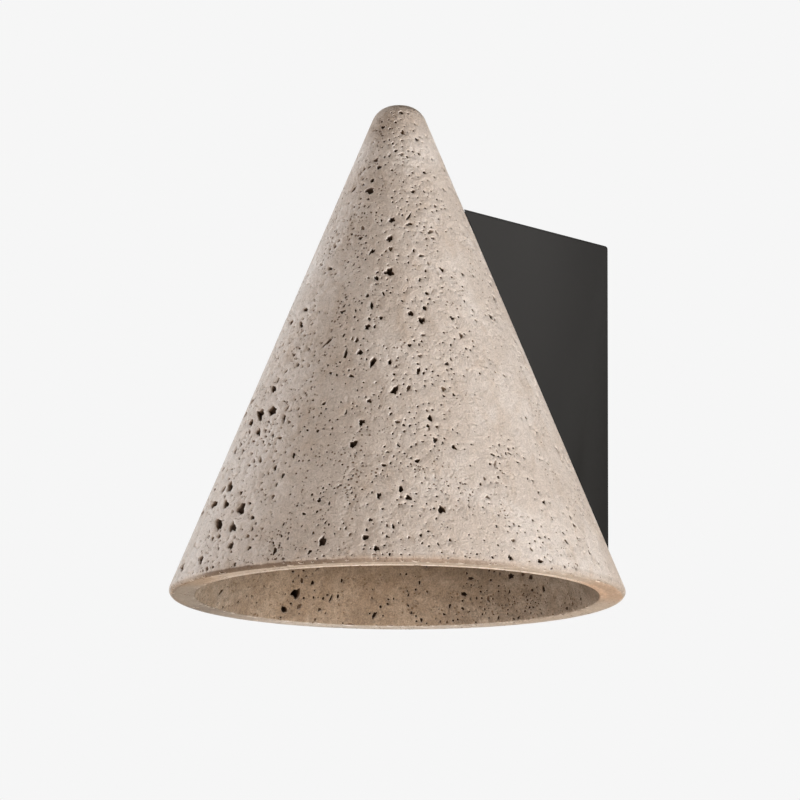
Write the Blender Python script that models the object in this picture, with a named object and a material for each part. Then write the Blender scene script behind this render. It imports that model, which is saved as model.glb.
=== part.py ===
"""Travertine cone wall light on a black steel wall bracket.

Metres, +Z up. The origin is the centre of the flat wall face: the wall is the plane
y = 0, the light stands out of it towards -Y, and the cone's axis is vertical.
"""

import math
import random

import bmesh
import bpy
from mathutils import Matrix, Vector

MM = 0.001

# The stone cone. Heights are measured up from the plane of its open rim.
RIM_RADIUS = 100.0 * MM
SHARP_APEX_HEIGHT = 239.6 * MM
TIP_HEIGHT = 218.0 * MM
TIP_ROUNDING = 10.4 * MM
RIM_ROUNDING = 2.2 * MM
MOUTH_RADIUS = 88.5 * MM
MOUTH_ROUNDING = 1.0 * MM
HOLLOW_HEIGHT = 192.0 * MM
HOLLOW_ROUNDING = 7.0 * MM
TAPER = RIM_RADIUS / SHARP_APEX_HEIGHT
SIDE_ANGLE = math.atan(TAPER)

# Where the cone stands.
AXIS_TO_WALL = 116.0 * MM
RIM_BELOW_ORIGIN = 95.5 * MM

# The steel bracket.
BRACKET_WIDTH = 52.0 * MM
BRACKET_HEIGHT = 151.0 * MM
BRACKET_WALL = 2.0 * MM
BRACKET_ROUNDING = 1.5 * MM
GAP = 0.3 * MM

# The plate on the wall.
PLATE_THICKNESS = 2.0 * MM
PLATE_TAB_DEPTH = 13.0 * MM
WALL_SCREW_HEIGHTS = (50.0 * MM, -50.0 * MM)
WALL_SCREW_RADIUS = 2.5 * MM
CABLE_HOLE_RADIUS = 9.0 * MM
CABLE_HOLE_HEIGHT = -20.0 * MM

# The tube through the back of the cone, and what hangs on it.
TUBE_HEIGHT = 130.0 * MM
TUBE_RADIUS = 5.0 * MM
TUBE_BORE_RADIUS = 3.0 * MM
TUBE_REACH = 52.0 * MM
NUT_ACROSS_FLATS = 14.0 * MM
NUT_THICKNESS = 3.5 * MM
SEAT_RADIUS = 9.0 * MM
CUP_RADIUS = 13.0 * MM
CUP_WALL = 1.5 * MM
CUP_BOTTOM = 116.0 * MM
CUP_TOP = 144.0 * MM
SOCKET_BOTTOM = 112.0 * MM
SOCKET_TOP = 122.0 * MM
BULB_RADIUS = 8.0 * MM
BULB_BOTTOM = 66.0 * MM

# The screw under the bracket.
SCREW_RADIUS = 2.0 * MM
SCREW_HEAD_RADIUS = 3.8 * MM
SCREW_HEAD_HEIGHT = 2.2 * MM
SCREW_LENGTH = 7.0 * MM
SCREW_FROM_WALL = 8.0 * MM

CONE_SIDES = 64
SMALL_SIDES = 16
SMOOTH_BELOW = math.radians(32)

# Main pits of the stone: bearing in degrees (0 faces away from the wall, 90 is +X), height
# above the rim, width, length along the slope in mm, and lean in degrees (top to the right).
OUTER_PITS = (
    (44, 213, 1.8, 1.8, 0), (9, 206, 1.9, 1.7, 30), (46, 203, 1.5, 2.8, -15), (68, 200, 1.4, 1.8, 20),
    (11, 190, 1.8, 2.2, 35), (17, 186, 2.2, 2.0, 0), (43, 192, 1.8, 1.6, 0), (69, 184, 1.6, 1.5, 0),
    (12, 180, 2.0, 1.8, -40), (12, 175, 4.0, 3.4, 0), (-9, 177, 1.4, 3.2, 25), (53, 174, 1.8, 1.9, 0),
    (72, 168, 1.6, 1.6, 0), (35, 160, 2.6, 2.8, 10), (48, 158, 2.8, 1.5, -15), (13, 157, 1.6, 2.4, -35),
    (63, 155, 2.8, 1.6, -30), (13, 152, 2.0, 1.7, 0), (34, 151, 2.6, 3.2, 15), (35, 146, 1.6, 2.2, -10),
    (23, 145, 1.8, 3.4, 25), (64, 152, 1.8, 1.5, 20), (54, 143, 2.4, 1.3, -10), (35, 135, 3.8, 4.0, 25),
    (66, 137, 1.5, 2.4, -15), (28, 132, 1.5, 2.8, -25), (-5, 139, 2.1, 1.5, 25), (24, 124, 1.7, 1.7, 0),
    (27, 119, 1.5, 3.4, -10), (12, 117, 2.4, 1.9, 0), (32, 113, 1.5, 1.8, 0), (26, 109, 2.4, 2.6, 0),
    (55, 125, 1.8, 1.7, 0), (53, 118, 1.9, 2.2, -25), (46, 115, 2.4, 2.6, 0), (51, 112, 3.0, 3.3, -25),
    (51, 105, 1.9, 1.4, 0), (69, 106, 1.4, 3.0, 10), (92, 118, 2.0, 2.2, 0), (22, 103, 1.7, 2.8, 5),
    (24, 97, 2.7, 2.5, 30), (8, 103, 1.4, 6.0, 40), (18, 97, 1.4, 4.8, 5), (30, 92, 2.2, 5.0, 15),
    (45, 100, 1.7, 1.6, 0), (49, 95, 1.8, 1.7, 0), (60, 92, 2.1, 1.6, -20), (48, 88, 1.5, 3.2, 15),
    (22, 86, 2.8, 1.4, 25), (-17, 84, 2.0, 3.0, 15), (-15, 91, 1.5, 1.6, 30), (-5, 94, 1.6, 1.6, 30),
    (-20, 74, 2.6, 4.2, 15), (-12, 75, 2.8, 4.0, 25), (-29, 77, 1.8, 2.8, 30), (-3, 70, 1.5, 4.5, 20),
    (-17, 64, 1.7, 3.8, 25), (-4, 61, 2.2, 1.4, 15), (13, 74, 1.6, 1.9, 40), (39, 79, 2.5, 4.5, 25),
    (44, 80, 1.5, 3.4, 25), (30, 74, 2.0, 2.2, -15), (28, 64, 2.8, 2.8, 0), (26, 54, 2.8, 4.0, 20),
    (57, 80, 1.9, 2.4, -10), (51, 66, 2.0, 3.0, -5), (52, 56, 1.8, 2.8, 0), (58, 53, 1.7, 2.8, -30),
    (40, 64, 2.0, 1.8, 30), (71, 51, 2.0, 1.5, 20), (46, 46, 2.5, 1.6, -30), (36, 44, 2.2, 1.4, 10),
    (5, 51, 1.5, 3.0, 20), (-21, 41, 2.0, 3.6, 20), (-18, 34, 2.3, 3.2, 15), (-28, 34, 2.0, 2.2, 20),
    (-47, 33, 1.8, 4.6, 15), (-9, 28, 2.5, 4.8, 15), (-19, 24, 2.6, 5.2, 10), (-12, 22, 2.0, 3.6, 15),
    (-10, 12, 1.5, 3.4, 30), (-22, 9, 1.5, 3.6, 15), (-37, 9, 1.7, 4.2, 20), (7, 8, 1.5, 3.4, 20),
    (18, 29, 1.5, 2.5, 0), (21, 10, 2.9, 5.0, 10), (32, 11, 2.8, 2.8, 0), (33, 19, 1.8, 1.9, -10),
    (35, 6, 2.4, 2.6, 0), (35, 30, 1.8, 3.0, 0), (41, 33, 2.0, 3.0, 10), (43, 29, 2.8, 2.2, 40),
    (52, 24, 2.6, 3.8, -15), (66, 31, 1.8, 1.7, 0), (69, 4, 1.8, 2.8, -10), (78, 4, 2.8, 2.0, 0),
    (71, 12, 1.8, 1.5, -30), (86, 32, 1.7, 1.7, -30), (97, 24, 1.6, 1.9, 0),
)
INNER_PITS = (
    (-107, 12, 5.0, 5.0, 10), (-104, 4.8, 4.0, 3.0, 40), (-109, 6.6, 2.2, 2.8, 30), (-74, 7, 1.8, 4.4, 30),
    (-108, 17.5, 1.6, 2.8, -20), (-112, 17, 1.8, 2.2, 0), (-133, 4.6, 1.6, 3.8, 25), (-161, 13, 3.4, 2.2, 15),
    (-169, 9.8, 3.8, 1.9, 10), (-179, 18.5, 3.8, 2.6, 0), (176, 18.5, 2.8, 1.9, 0), (170, 11, 4.4, 1.7, 20),
    (-164, 19.5, 3.6, 1.5, 0), (-116, 6, 2.0, 1.6, 0),
)
# The side towards the wall has no pit of its own in the list: its pits gather along upright bands.
HIDDEN_BANDS = (108, 121, 137, 150, 168, 192, 207, 221, 236, 252, 266, 279, 293, 306)
HIDDEN_PITS = 62
BAND_SPREAD = 2.5
PIT_SPACING = 6.0
PIT_SEED = 11
PIT_SIDES = 7
PIT_DEPTH_TO_WIDTH = 0.75
PIT_FLOOR = 0.55


def clear_scene():
    for old in list(bpy.data.objects):
        bpy.data.objects.remove(old, do_unlink=True)


def make_material(name, colour, roughness, metallic=0.0):
    material = bpy.data.materials.new(name)
    material.use_nodes = True
    shader = material.node_tree.nodes["Principled BSDF"]
    shader.inputs["Base Color"].default_value = (*colour, 1.0)
    shader.inputs["Roughness"].default_value = roughness
    shader.inputs["Metallic"].default_value = metallic
    return material


def add_object(name, bm, material=None):
    """Write a bmesh to a new object, smooth where its faces meet at a shallow angle."""
    mesh = bpy.data.meshes.new(name)
    bm.to_mesh(mesh)
    bm.free()
    mesh.shade_smooth()
    mesh.set_sharp_from_angle(angle=SMOOTH_BELOW)
    if material:
        mesh.materials.append(material)
    thing = bpy.data.objects.new(name, mesh)
    bpy.context.collection.objects.link(thing)
    return thing


def as_cutter(thing):
    thing.hide_render = True
    thing.display_type = "WIRE"
    return thing


def cut(thing, cutter):
    modifier = thing.modifiers.new(cutter.name, "BOOLEAN")
    modifier.operation = "DIFFERENCE"
    modifier.solver = "EXACT"
    modifier.object = cutter


def on_axis(height):
    """A point on the cone's axis, at a height above the rim."""
    return Vector((0.0, -AXIS_TO_WALL, height - RIM_BELOW_ORIGIN))


def outer_radius(height):
    return RIM_RADIUS - height * TAPER


def inner_radius(height):
    return MOUTH_RADIUS - height * TAPER


def arc(centre, radius, first, last, steps):
    """Points (radius, height) on an arc; angles in radians from the outward direction."""
    turns = [first + (last - first) * step / steps for step in range(steps + 1)]
    return [(centre[0] + radius * math.cos(a), centre[1] + radius * math.sin(a)) for a in turns]


def corner_arc(sharp_radius, at_height, radius, first, last, steps, inwards, upwards):
    """An arc that rounds the corner between the cone's slope and a level face."""
    half_turn = abs(last - first) / 2
    along_level = radius * math.tan(half_turn)
    centre = (sharp_radius + inwards * along_level, at_height + upwards * radius)
    return arc(centre, radius, first, last, steps)


def shade_profile():
    """The cone's outline as (radius, height), from the tip down, round the rim and up inside."""
    up = math.pi / 2
    slope_out = SIDE_ANGLE
    slope_in = SIDE_ANGLE - math.pi
    tip = corner_arc(outer_radius(TIP_HEIGHT), TIP_HEIGHT, TIP_ROUNDING, up, slope_out, 5, -1, -1)
    rim = corner_arc(RIM_RADIUS, 0.0, RIM_ROUNDING, slope_out, -up, 4, -1, 1)
    mouth = corner_arc(MOUTH_RADIUS, 0.0, MOUTH_ROUNDING, -up, slope_in, 2, 1, 1)
    hollow_edge = inner_radius(HOLLOW_HEIGHT)
    hollow = corner_arc(hollow_edge, HOLLOW_HEIGHT, HOLLOW_ROUNDING, slope_out, up, 3, -1, -1)
    outside = between(tip[-1], rim[0], 6)
    inside = between(mouth[-1], hollow[0], 4)
    return tip + outside + rim + mouth + inside + hollow


def between(start, end, steps):
    """Points strictly between two profile points."""
    first, last = Vector(start), Vector(end)
    return [tuple(first.lerp(last, step / steps)) for step in range(1, steps)]


def turned(profile, sides, closed=False):
    """Turn a (radius, height) profile about +Z. A profile that isn't closed ends at two poles."""
    bm = bmesh.new()
    rings = []
    for radius, height in profile:
        turns = [math.tau * side / sides for side in range(sides)]
        rings.append([bm.verts.new((radius * math.sin(a), -radius * math.cos(a), height)) for a in turns])
    pairs = list(zip(rings, rings[1:]))
    if closed:
        pairs.append((rings[-1], rings[0]))
    for upper, lower in pairs:
        for side in range(sides):
            after = (side + 1) % sides
            bm.faces.new((upper[side], lower[side], lower[after], upper[after]))
    if not closed:
        for ring, last in ((rings[0], False), (rings[-1], True)):
            pole = bm.verts.new((0.0, 0.0, ring[0].co.z))
            for side in range(sides):
                after = (side + 1) % sides
                corners = (pole, ring[after], ring[side]) if last else (pole, ring[side], ring[after])
                bm.faces.new(corners)
    return bm


def cylinder(name, start, end, radius, sides=SMALL_SIDES):
    """A closed cylinder between two points."""
    bm = bmesh.new()
    along = end - start
    turn = along.to_track_quat("Z", "Y").to_matrix().to_4x4()
    place = Matrix.Translation((start + end) / 2) @ turn
    bmesh.ops.create_cone(
        bm, cap_ends=True, segments=sides, radius1=radius, radius2=radius, depth=along.length, matrix=place
    )
    return add_object(name, bm)


def box(name, low, high, material=None, rounding=0.0):
    bm = bmesh.new()
    low, high = Vector(low), Vector(high)
    place = Matrix.Translation((low + high) / 2) @ Matrix.Diagonal((*(high - low), 1.0))
    bmesh.ops.create_cube(bm, size=1.0, matrix=place)
    if rounding:
        bmesh.ops.bevel(bm, geom=bm.edges[:], offset=rounding, segments=3, profile=0.5, affect="EDGES")
    return add_object(name, bm, material)


def pit_place(bearing, height, inside):
    """Centre, rightward, upward and outward directions of a pit, seen from its open side."""
    turn = math.radians(bearing)
    away = Vector((math.sin(turn), -math.cos(turn), 0.0))
    right = Vector((math.cos(turn), math.sin(turn), 0.0))
    height = height * MM
    radius = inner_radius(height) if inside else outer_radius(height)
    up = (Vector((0.0, 0.0, 1.0)) - away * TAPER).normalized()
    out = right.cross(up)
    if inside:
        return on_axis(height) + away * radius, -right, up, -out
    over_tip = height - (TIP_HEIGHT - TIP_ROUNDING + TIP_ROUNDING * math.sin(SIDE_ANGLE))
    sink = max(0.0, over_tip) ** 2 / (2.2 * TIP_ROUNDING)
    return on_axis(height) + away * radius - out * sink, right, up, out


def add_pit_cutter(bm, pit, inside, chance):
    """One ragged, tapering plug whose narrow end is the pit's floor."""
    bearing, height, width, length, lean = pit
    centre, right, up, out = pit_place(bearing, height, inside)
    tilt = math.radians(lean)
    across = right * math.cos(tilt) - up * math.sin(tilt)
    along = right * math.sin(tilt) + up * math.cos(tilt)
    depth = PIT_DEPTH_TO_WIDTH * min(width, length) * MM + 0.4 * MM
    rings = [[], []]
    for corner in range(PIT_SIDES):
        turn = math.tau * (corner + chance.uniform(-0.22, 0.22)) / PIT_SIDES
        reach = chance.uniform(0.82, 1.12)
        spot = across * (math.cos(turn) * width / 2 * MM) + along * (math.sin(turn) * length / 2 * MM)
        spot = spot * reach
        rings[0].append(bm.verts.new(centre + spot * 1.12 + out * 0.5 * MM))
        rings[1].append(bm.verts.new(centre + spot * PIT_FLOOR - out * depth))
    bm.faces.new(rings[0])
    bm.faces.new(reversed(rings[1]))
    for corner in range(PIT_SIDES):
        after = (corner + 1) % PIT_SIDES
        bm.faces.new((rings[0][corner], rings[1][corner], rings[1][after], rings[0][after]))


def hidden_pits():
    """Pits for the side of the cone that faces the wall, none of them touching another."""
    chance = random.Random(PIT_SEED)
    pits = []
    while len(pits) < HIDDEN_PITS:
        height = 205.0 * (1.0 - math.sqrt(chance.random()))
        bearing = chance.choice(HIDDEN_BANDS) + chance.gauss(0.0, BAND_SPREAD)
        width = chance.uniform(1.5, 2.8)
        length = width * chance.uniform(0.9, 2.2)
        lean = chance.uniform(-30, 30)
        radius = outer_radius(height * MM) / MM
        clear = all(
            math.hypot(math.radians(bearing - other[0]) * radius, height - other[1]) > PIT_SPACING
            for other in pits
        )
        beside_seat = abs(bearing - 180.0) > 14.0 or abs(height - TUBE_HEIGHT / MM) > 14.0
        if clear and beside_seat and height > 4.0:
            pits.append((bearing, height, width, length, lean))
    return pits


def make_pit_cutters():
    bm = bmesh.new()
    chance = random.Random(PIT_SEED)
    for pit in OUTER_PITS:
        add_pit_cutter(bm, pit, False, chance)
    for pit in hidden_pits():
        add_pit_cutter(bm, pit, False, chance)
    for pit in INNER_PITS:
        add_pit_cutter(bm, pit, True, chance)
    return as_cutter(add_object("pit_cutters", bm))


def seat_depth():
    """Distance from the axis of the flat seat for the nut, where its lower edge leaves the stone."""
    return inner_radius(TUBE_HEIGHT - SEAT_RADIUS)


def make_shade(material):
    bm = turned(shade_profile(), CONE_SIDES)
    bm.transform(Matrix.Translation(on_axis(0.0)))
    shade = add_object("travertine_shade", bm, material)
    backwards = Vector((0.0, 1.0, 0.0))
    middle = on_axis(TUBE_HEIGHT)
    bore = cylinder("tube_hole_cutter", middle, middle + backwards * RIM_RADIUS, TUBE_RADIUS + GAP)
    seat = cylinder("seat_cutter", middle, middle + backwards * seat_depth(), SEAT_RADIUS)
    cut(shade, make_pit_cutters())
    cut(shade, as_cutter(bore))
    cut(shade, as_cutter(seat))
    return shade


def cone_cutter(name, clearance):
    """The cone's outside, grown by a clearance square to its side."""
    grow = clearance / math.cos(SIDE_ANGLE)
    low, high = -20.0 * MM, 235.0 * MM
    profile = [(outer_radius(high) + grow, high), (outer_radius(low) + grow, low)]
    bm = turned(profile, CONE_SIDES)
    bm.transform(Matrix.Translation(on_axis(0.0)))
    return as_cutter(add_object(name, bm))


def make_bracket(material):
    """A steel housing, open to the wall, whose front end follows the stone."""
    half, top = BRACKET_WIDTH / 2, BRACKET_HEIGHT / 2
    wall = BRACKET_WALL
    bracket = box(
        "steel_bracket", (-half, -AXIS_TO_WALL, -top), (half, 0.0, top), material, BRACKET_ROUNDING
    )
    hollow = box(
        "hollow_cutter", (wall - half, -AXIS_TO_WALL, wall - top), (half - wall, 2 * wall, top - wall)
    )
    cut(hollow, cone_cutter("hollow_front_cutter", GAP + wall))
    cut(bracket, cone_cutter("front_cutter", GAP))
    cut(bracket, as_cutter(hollow))
    middle = on_axis(TUBE_HEIGHT)
    bore = cylinder("bracket_bore_cutter", middle, Vector((0.0, -40.0 * MM, middle.z)), TUBE_RADIUS + GAP)
    cut(bracket, as_cutter(bore))
    under = Vector((0.0, -SCREW_FROM_WALL, -top))
    rise = Vector((0.0, 0.0, 2 * wall))
    hole = cylinder("screw_hole_cutter", under - rise, under + rise, SCREW_RADIUS + GAP)
    cut(bracket, as_cutter(hole))
    return bracket


def make_wall_plate(material):
    """An upright plate with a tab folded forward at its foot, drawn as an L and extruded."""
    half = BRACKET_WIDTH / 2 - BRACKET_WALL - GAP
    top = BRACKET_HEIGHT / 2 - BRACKET_WALL - GAP
    tab, thick = PLATE_TAB_DEPTH, PLATE_THICKNESS
    outline = ((0.0, top), (-thick, top), (-thick, thick - top), (-tab, thick - top), (-tab, -top), (0.0, -top))
    bm = bmesh.new()
    face = bm.faces.new([bm.verts.new((-half, y, z)) for y, z in outline])
    sweep = bmesh.ops.extrude_face_region(bm, geom=[face])
    moved = [item for item in sweep["geom"] if isinstance(item, bmesh.types.BMVert)]
    bmesh.ops.translate(bm, verts=moved, vec=(2 * half, 0.0, 0.0))
    bmesh.ops.recalc_face_normals(bm, faces=bm.faces[:])
    plate = add_object("wall_plate", bm, material)
    through = Vector((0.0, 2 * thick, 0.0))
    holes = [(CABLE_HOLE_HEIGHT, CABLE_HOLE_RADIUS)]
    holes += [(height, WALL_SCREW_RADIUS) for height in WALL_SCREW_HEIGHTS]
    for number, (height, radius) in enumerate(holes):
        spot = Vector((0.0, 0.0, height))
        cut(plate, as_cutter(cylinder(f"plate_hole_cutter_{number}", spot - through, spot + through, radius)))
    foot = Vector((0.0, -SCREW_FROM_WALL, -top))
    rise = Vector((0.0, 0.0, 2 * thick))
    cut(plate, as_cutter(cylinder("tab_hole_cutter", foot - rise, foot + rise, SCREW_RADIUS + GAP)))
    return plate


def make_plate_screw(material):
    """A round-headed screw with a hexagon socket, pointing up through the bracket's floor."""
    head = SCREW_HEAD_RADIUS
    height = SCREW_HEAD_HEIGHT
    profile = [
        (SCREW_RADIUS, SCREW_LENGTH), (SCREW_RADIUS, 0.0), (head, 0.0), (head, -0.5 * height),
        (0.8 * head, -0.9 * height), (0.55 * head, -height),
    ]
    bm = turned(profile, SMALL_SIDES)
    seat = Vector((0.0, -SCREW_FROM_WALL, -BRACKET_HEIGHT / 2 - GAP))
    bm.transform(Matrix.Translation(seat))
    screw = add_object("plate_screw", bm, material)
    below = seat - Vector((0.0, 0.0, 2 * height))
    socket_top = seat - Vector((0.0, 0.0, 0.45 * height))
    cut(screw, as_cutter(cylinder("screw_socket_cutter", below, socket_top, 1.4 * MM, 6)))
    return screw


def make_threaded_tube(material):
    """A plain tube from inside the cup, through the stone, into the bracket."""
    start = CUP_RADIUS - 3.0 * MM
    profile = [
        (TUBE_RADIUS, TUBE_REACH), (TUBE_RADIUS, start), (TUBE_BORE_RADIUS, start), (TUBE_BORE_RADIUS, TUBE_REACH)
    ]
    bm = turned(profile, SMALL_SIDES, closed=True)
    lay_back = Matrix.Rotation(-math.pi / 2, 4, "X")
    bm.transform(Matrix.Translation(on_axis(TUBE_HEIGHT)) @ lay_back)
    return add_object("threaded_tube", bm, material)


def make_ring_nut(material):
    back = on_axis(TUBE_HEIGHT) + Vector((0.0, seat_depth() - GAP, 0.0))
    front = back - Vector((0.0, NUT_THICKNESS, 0.0))
    corner_radius = NUT_ACROSS_FLATS / 2 / math.cos(math.pi / 6)
    nut = cylinder("ring_nut", front, back, corner_radius, 6)
    nut.data.materials.append(material)
    middle = on_axis(TUBE_HEIGHT)
    bore = cylinder("nut_bore_cutter", middle, middle + Vector((0.0, RIM_RADIUS, 0.0)), TUBE_RADIUS + GAP)
    cut(nut, as_cutter(bore))
    return nut


def make_lampholder_cup(material):
    """A thin cap, open below, with a hole in its back for the tube."""
    radius, wall = CUP_RADIUS, CUP_WALL
    rounding = 3.0 * MM
    outer = arc((radius - rounding, CUP_TOP - rounding), rounding, math.pi / 2, 0.0, 4)
    inner = arc((radius - rounding, CUP_TOP - rounding), rounding - wall, 0.0, math.pi / 2, 4)
    profile = outer + [(radius, CUP_BOTTOM), (radius - wall, CUP_BOTTOM)] + inner
    bm = turned(profile, SMALL_SIDES)
    bm.transform(Matrix.Translation(on_axis(0.0)))
    cup = add_object("lampholder_cup", bm, material)
    middle = on_axis(TUBE_HEIGHT)
    bore = cylinder("cup_bore_cutter", middle, middle + Vector((0.0, 2 * radius, 0.0)), TUBE_RADIUS + GAP)
    cut(cup, as_cutter(bore))
    return cup


def make_lamp_socket(material):
    radius = CUP_RADIUS - CUP_WALL - GAP
    profile = [
        (radius, SOCKET_TOP), (radius, SOCKET_BOTTOM + 1.0 * MM), (radius - 1.0 * MM, SOCKET_BOTTOM)
    ]
    bm = turned(profile, SMALL_SIDES)
    bm.transform(Matrix.Translation(on_axis(0.0)))
    return add_object("lamp_socket", bm, material)


def make_bulb(material):
    """A capsule: a pinched neck under the socket, a straight body and a round end."""
    top = SOCKET_BOTTOM - GAP
    radius = BULB_RADIUS
    neck = [(0.6 * radius, top), (0.6 * radius, top - 7.0 * MM), (radius, top - 13.0 * MM)]
    end = arc((0.0, BULB_BOTTOM + radius), radius, 0.0, -0.45 * math.pi, 6)
    bm = turned(neck + end, SMALL_SIDES)
    bm.transform(Matrix.Translation(on_axis(0.0)))
    return add_object("bulb", bm, material)


def main():
    clear_scene()
    stone = make_material("travertine", (0.55, 0.44, 0.35), 0.85)
    black = make_material("black_steel", (0.03, 0.03, 0.03), 0.45)
    zinc = make_material("zinc_plated_steel", (0.55, 0.56, 0.57), 0.35, 1.0)
    ceramic = make_material("white_ceramic", (0.80, 0.79, 0.76), 0.40)
    glass = make_material("frosted_glass", (0.85, 0.85, 0.83), 0.50)
    make_shade(stone)
    make_bracket(black)
    make_wall_plate(zinc)
    make_plate_screw(black)
    make_threaded_tube(zinc)
    make_ring_nut(zinc)
    make_lampholder_cup(black)
    make_lamp_socket(ceramic)
    make_bulb(glass)


if __name__ == "__main__":
    main()
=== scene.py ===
"""Travertine cone wall light: its finished pieces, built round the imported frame.

Metres, +Z up. The wall is the plane y = 0, the light stands out of it towards -Y, and the
cone's axis is vertical. Heights are counted up from the plane of the cone's open rim.
"""

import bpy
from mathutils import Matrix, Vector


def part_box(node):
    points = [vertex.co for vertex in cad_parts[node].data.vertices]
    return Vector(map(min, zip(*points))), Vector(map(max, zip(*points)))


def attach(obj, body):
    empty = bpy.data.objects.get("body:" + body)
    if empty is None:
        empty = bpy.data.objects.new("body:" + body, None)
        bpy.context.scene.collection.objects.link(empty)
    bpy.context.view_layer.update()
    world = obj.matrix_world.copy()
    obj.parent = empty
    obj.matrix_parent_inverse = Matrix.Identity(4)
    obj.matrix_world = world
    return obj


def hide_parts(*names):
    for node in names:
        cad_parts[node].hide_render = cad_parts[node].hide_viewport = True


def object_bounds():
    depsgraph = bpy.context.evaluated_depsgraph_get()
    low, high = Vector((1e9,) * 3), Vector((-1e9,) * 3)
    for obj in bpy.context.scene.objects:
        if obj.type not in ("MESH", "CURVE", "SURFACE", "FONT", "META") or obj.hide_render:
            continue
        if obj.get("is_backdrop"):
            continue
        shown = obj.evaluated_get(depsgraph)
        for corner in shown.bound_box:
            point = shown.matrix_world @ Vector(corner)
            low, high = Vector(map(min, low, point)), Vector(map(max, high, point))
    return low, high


bl_info = {
    "name": "Travertine Cone Wall Light",
    "version": (1, 0, 0),
    "blender": (4, 5, 0),
    "location": "View3D > Sidebar > Wall Light",
    "description": "Builds the finished pieces of a travertine cone wall light",
    "category": "Object",
}

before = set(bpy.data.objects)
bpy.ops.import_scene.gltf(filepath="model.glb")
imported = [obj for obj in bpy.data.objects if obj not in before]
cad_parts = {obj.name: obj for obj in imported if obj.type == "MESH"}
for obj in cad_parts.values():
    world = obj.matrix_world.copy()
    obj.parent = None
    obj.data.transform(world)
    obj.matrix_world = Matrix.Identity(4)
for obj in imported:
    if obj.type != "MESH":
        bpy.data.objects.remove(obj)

import math
import random

import bmesh
import bpy
import numpy as np
from mathutils import Matrix, Vector
from mathutils.geometry import delaunay_2d_cdt
from mathutils.kdtree import KDTree

CAD_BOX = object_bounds()
MM = 0.001

# The stone cone.
RIM_RADIUS = 100.0 * MM
SHARP_APEX_HEIGHT = 239.6 * MM
TIP_HEIGHT = 218.0 * MM
TIP_ROUNDING = 10.4 * MM
RIM_ROUNDING = 2.2 * MM
MOUTH_RADIUS = 87.6 * MM
MOUTH_ROUNDING = 0.7 * MM
HOLLOW_HEIGHT = 192.0 * MM
HOLLOW_ROUNDING = 7.0 * MM
TAPER = RIM_RADIUS / SHARP_APEX_HEIGHT
SIDE_ANGLE = math.atan(TAPER)

# Where the cone stands: its axis crosses the rim plane here.
AXIS_TO_WALL = 116.0 * MM
RIM_CENTRE = Vector((0.0, -AXIS_TO_WALL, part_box("travertine_shade")[0].z))

# The tube through the back of the cone, its nut, and the lamp that hangs on it.
GAP = 0.3 * MM
TUBE_HEIGHT = 130.0 * MM
TUBE_RADIUS = 5.0 * MM
TUBE_BORE_RADIUS = 3.0 * MM
THREAD_PITCH = 1.0 * MM
THREAD_DEPTH = 0.55 * MM
SEAT_RADIUS = 9.0 * MM
CUP_RADIUS = 13.0 * MM
CUP_WALL = 1.5 * MM
CUP_ROUNDING = 3.0 * MM
CUP_LIP = 0.4 * MM
SOCKET_ROUNDING = 1.0 * MM
BULB_RADIUS = 8.0 * MM
BULB_NECK = 0.6
BULB_NECK_LENGTH = 7.0 * MM
BULB_SHOULDER_LENGTH = 6.0 * MM

# How finely the pieces are made.
PLAIN_STEP = 4.2 * MM
HOOP_STEP = 3.0 * MM
POLE_STEP = 0.25 * MM
STEP_TO_RADIUS = 0.15
FEWEST_AROUND = 12
# The longest steps along the outline: the tip's pole, its rounding, the outer side, the rim's
# outer rounding, its flat, the mouth's rounding, the inner side, the hollow's rounding, its pole.
OUTLINE_STEPS = (
    0.7 * MM, 1.0 * MM, PLAIN_STEP, 0.55 * MM, PLAIN_STEP, 0.5 * MM, PLAIN_STEP, 1.2 * MM, 1.6 * MM,
)
# How far before the mouth's rounding the raw face of the hollow starts, and how soon it is full.
RAW_BEFORE = 0.2 * MM
RAW_EASE = 1.0 * MM
TINY = 0.001 * MM
POLE_RADIUS = 0.6 * MM
OUTLINE_STEP = 0.2 * MM
ARC_STEPS = 40
ROUND_SIDES = 64
SMOOTH_BELOW = math.radians(34)
WORN_BELOW = math.radians(82)

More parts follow.
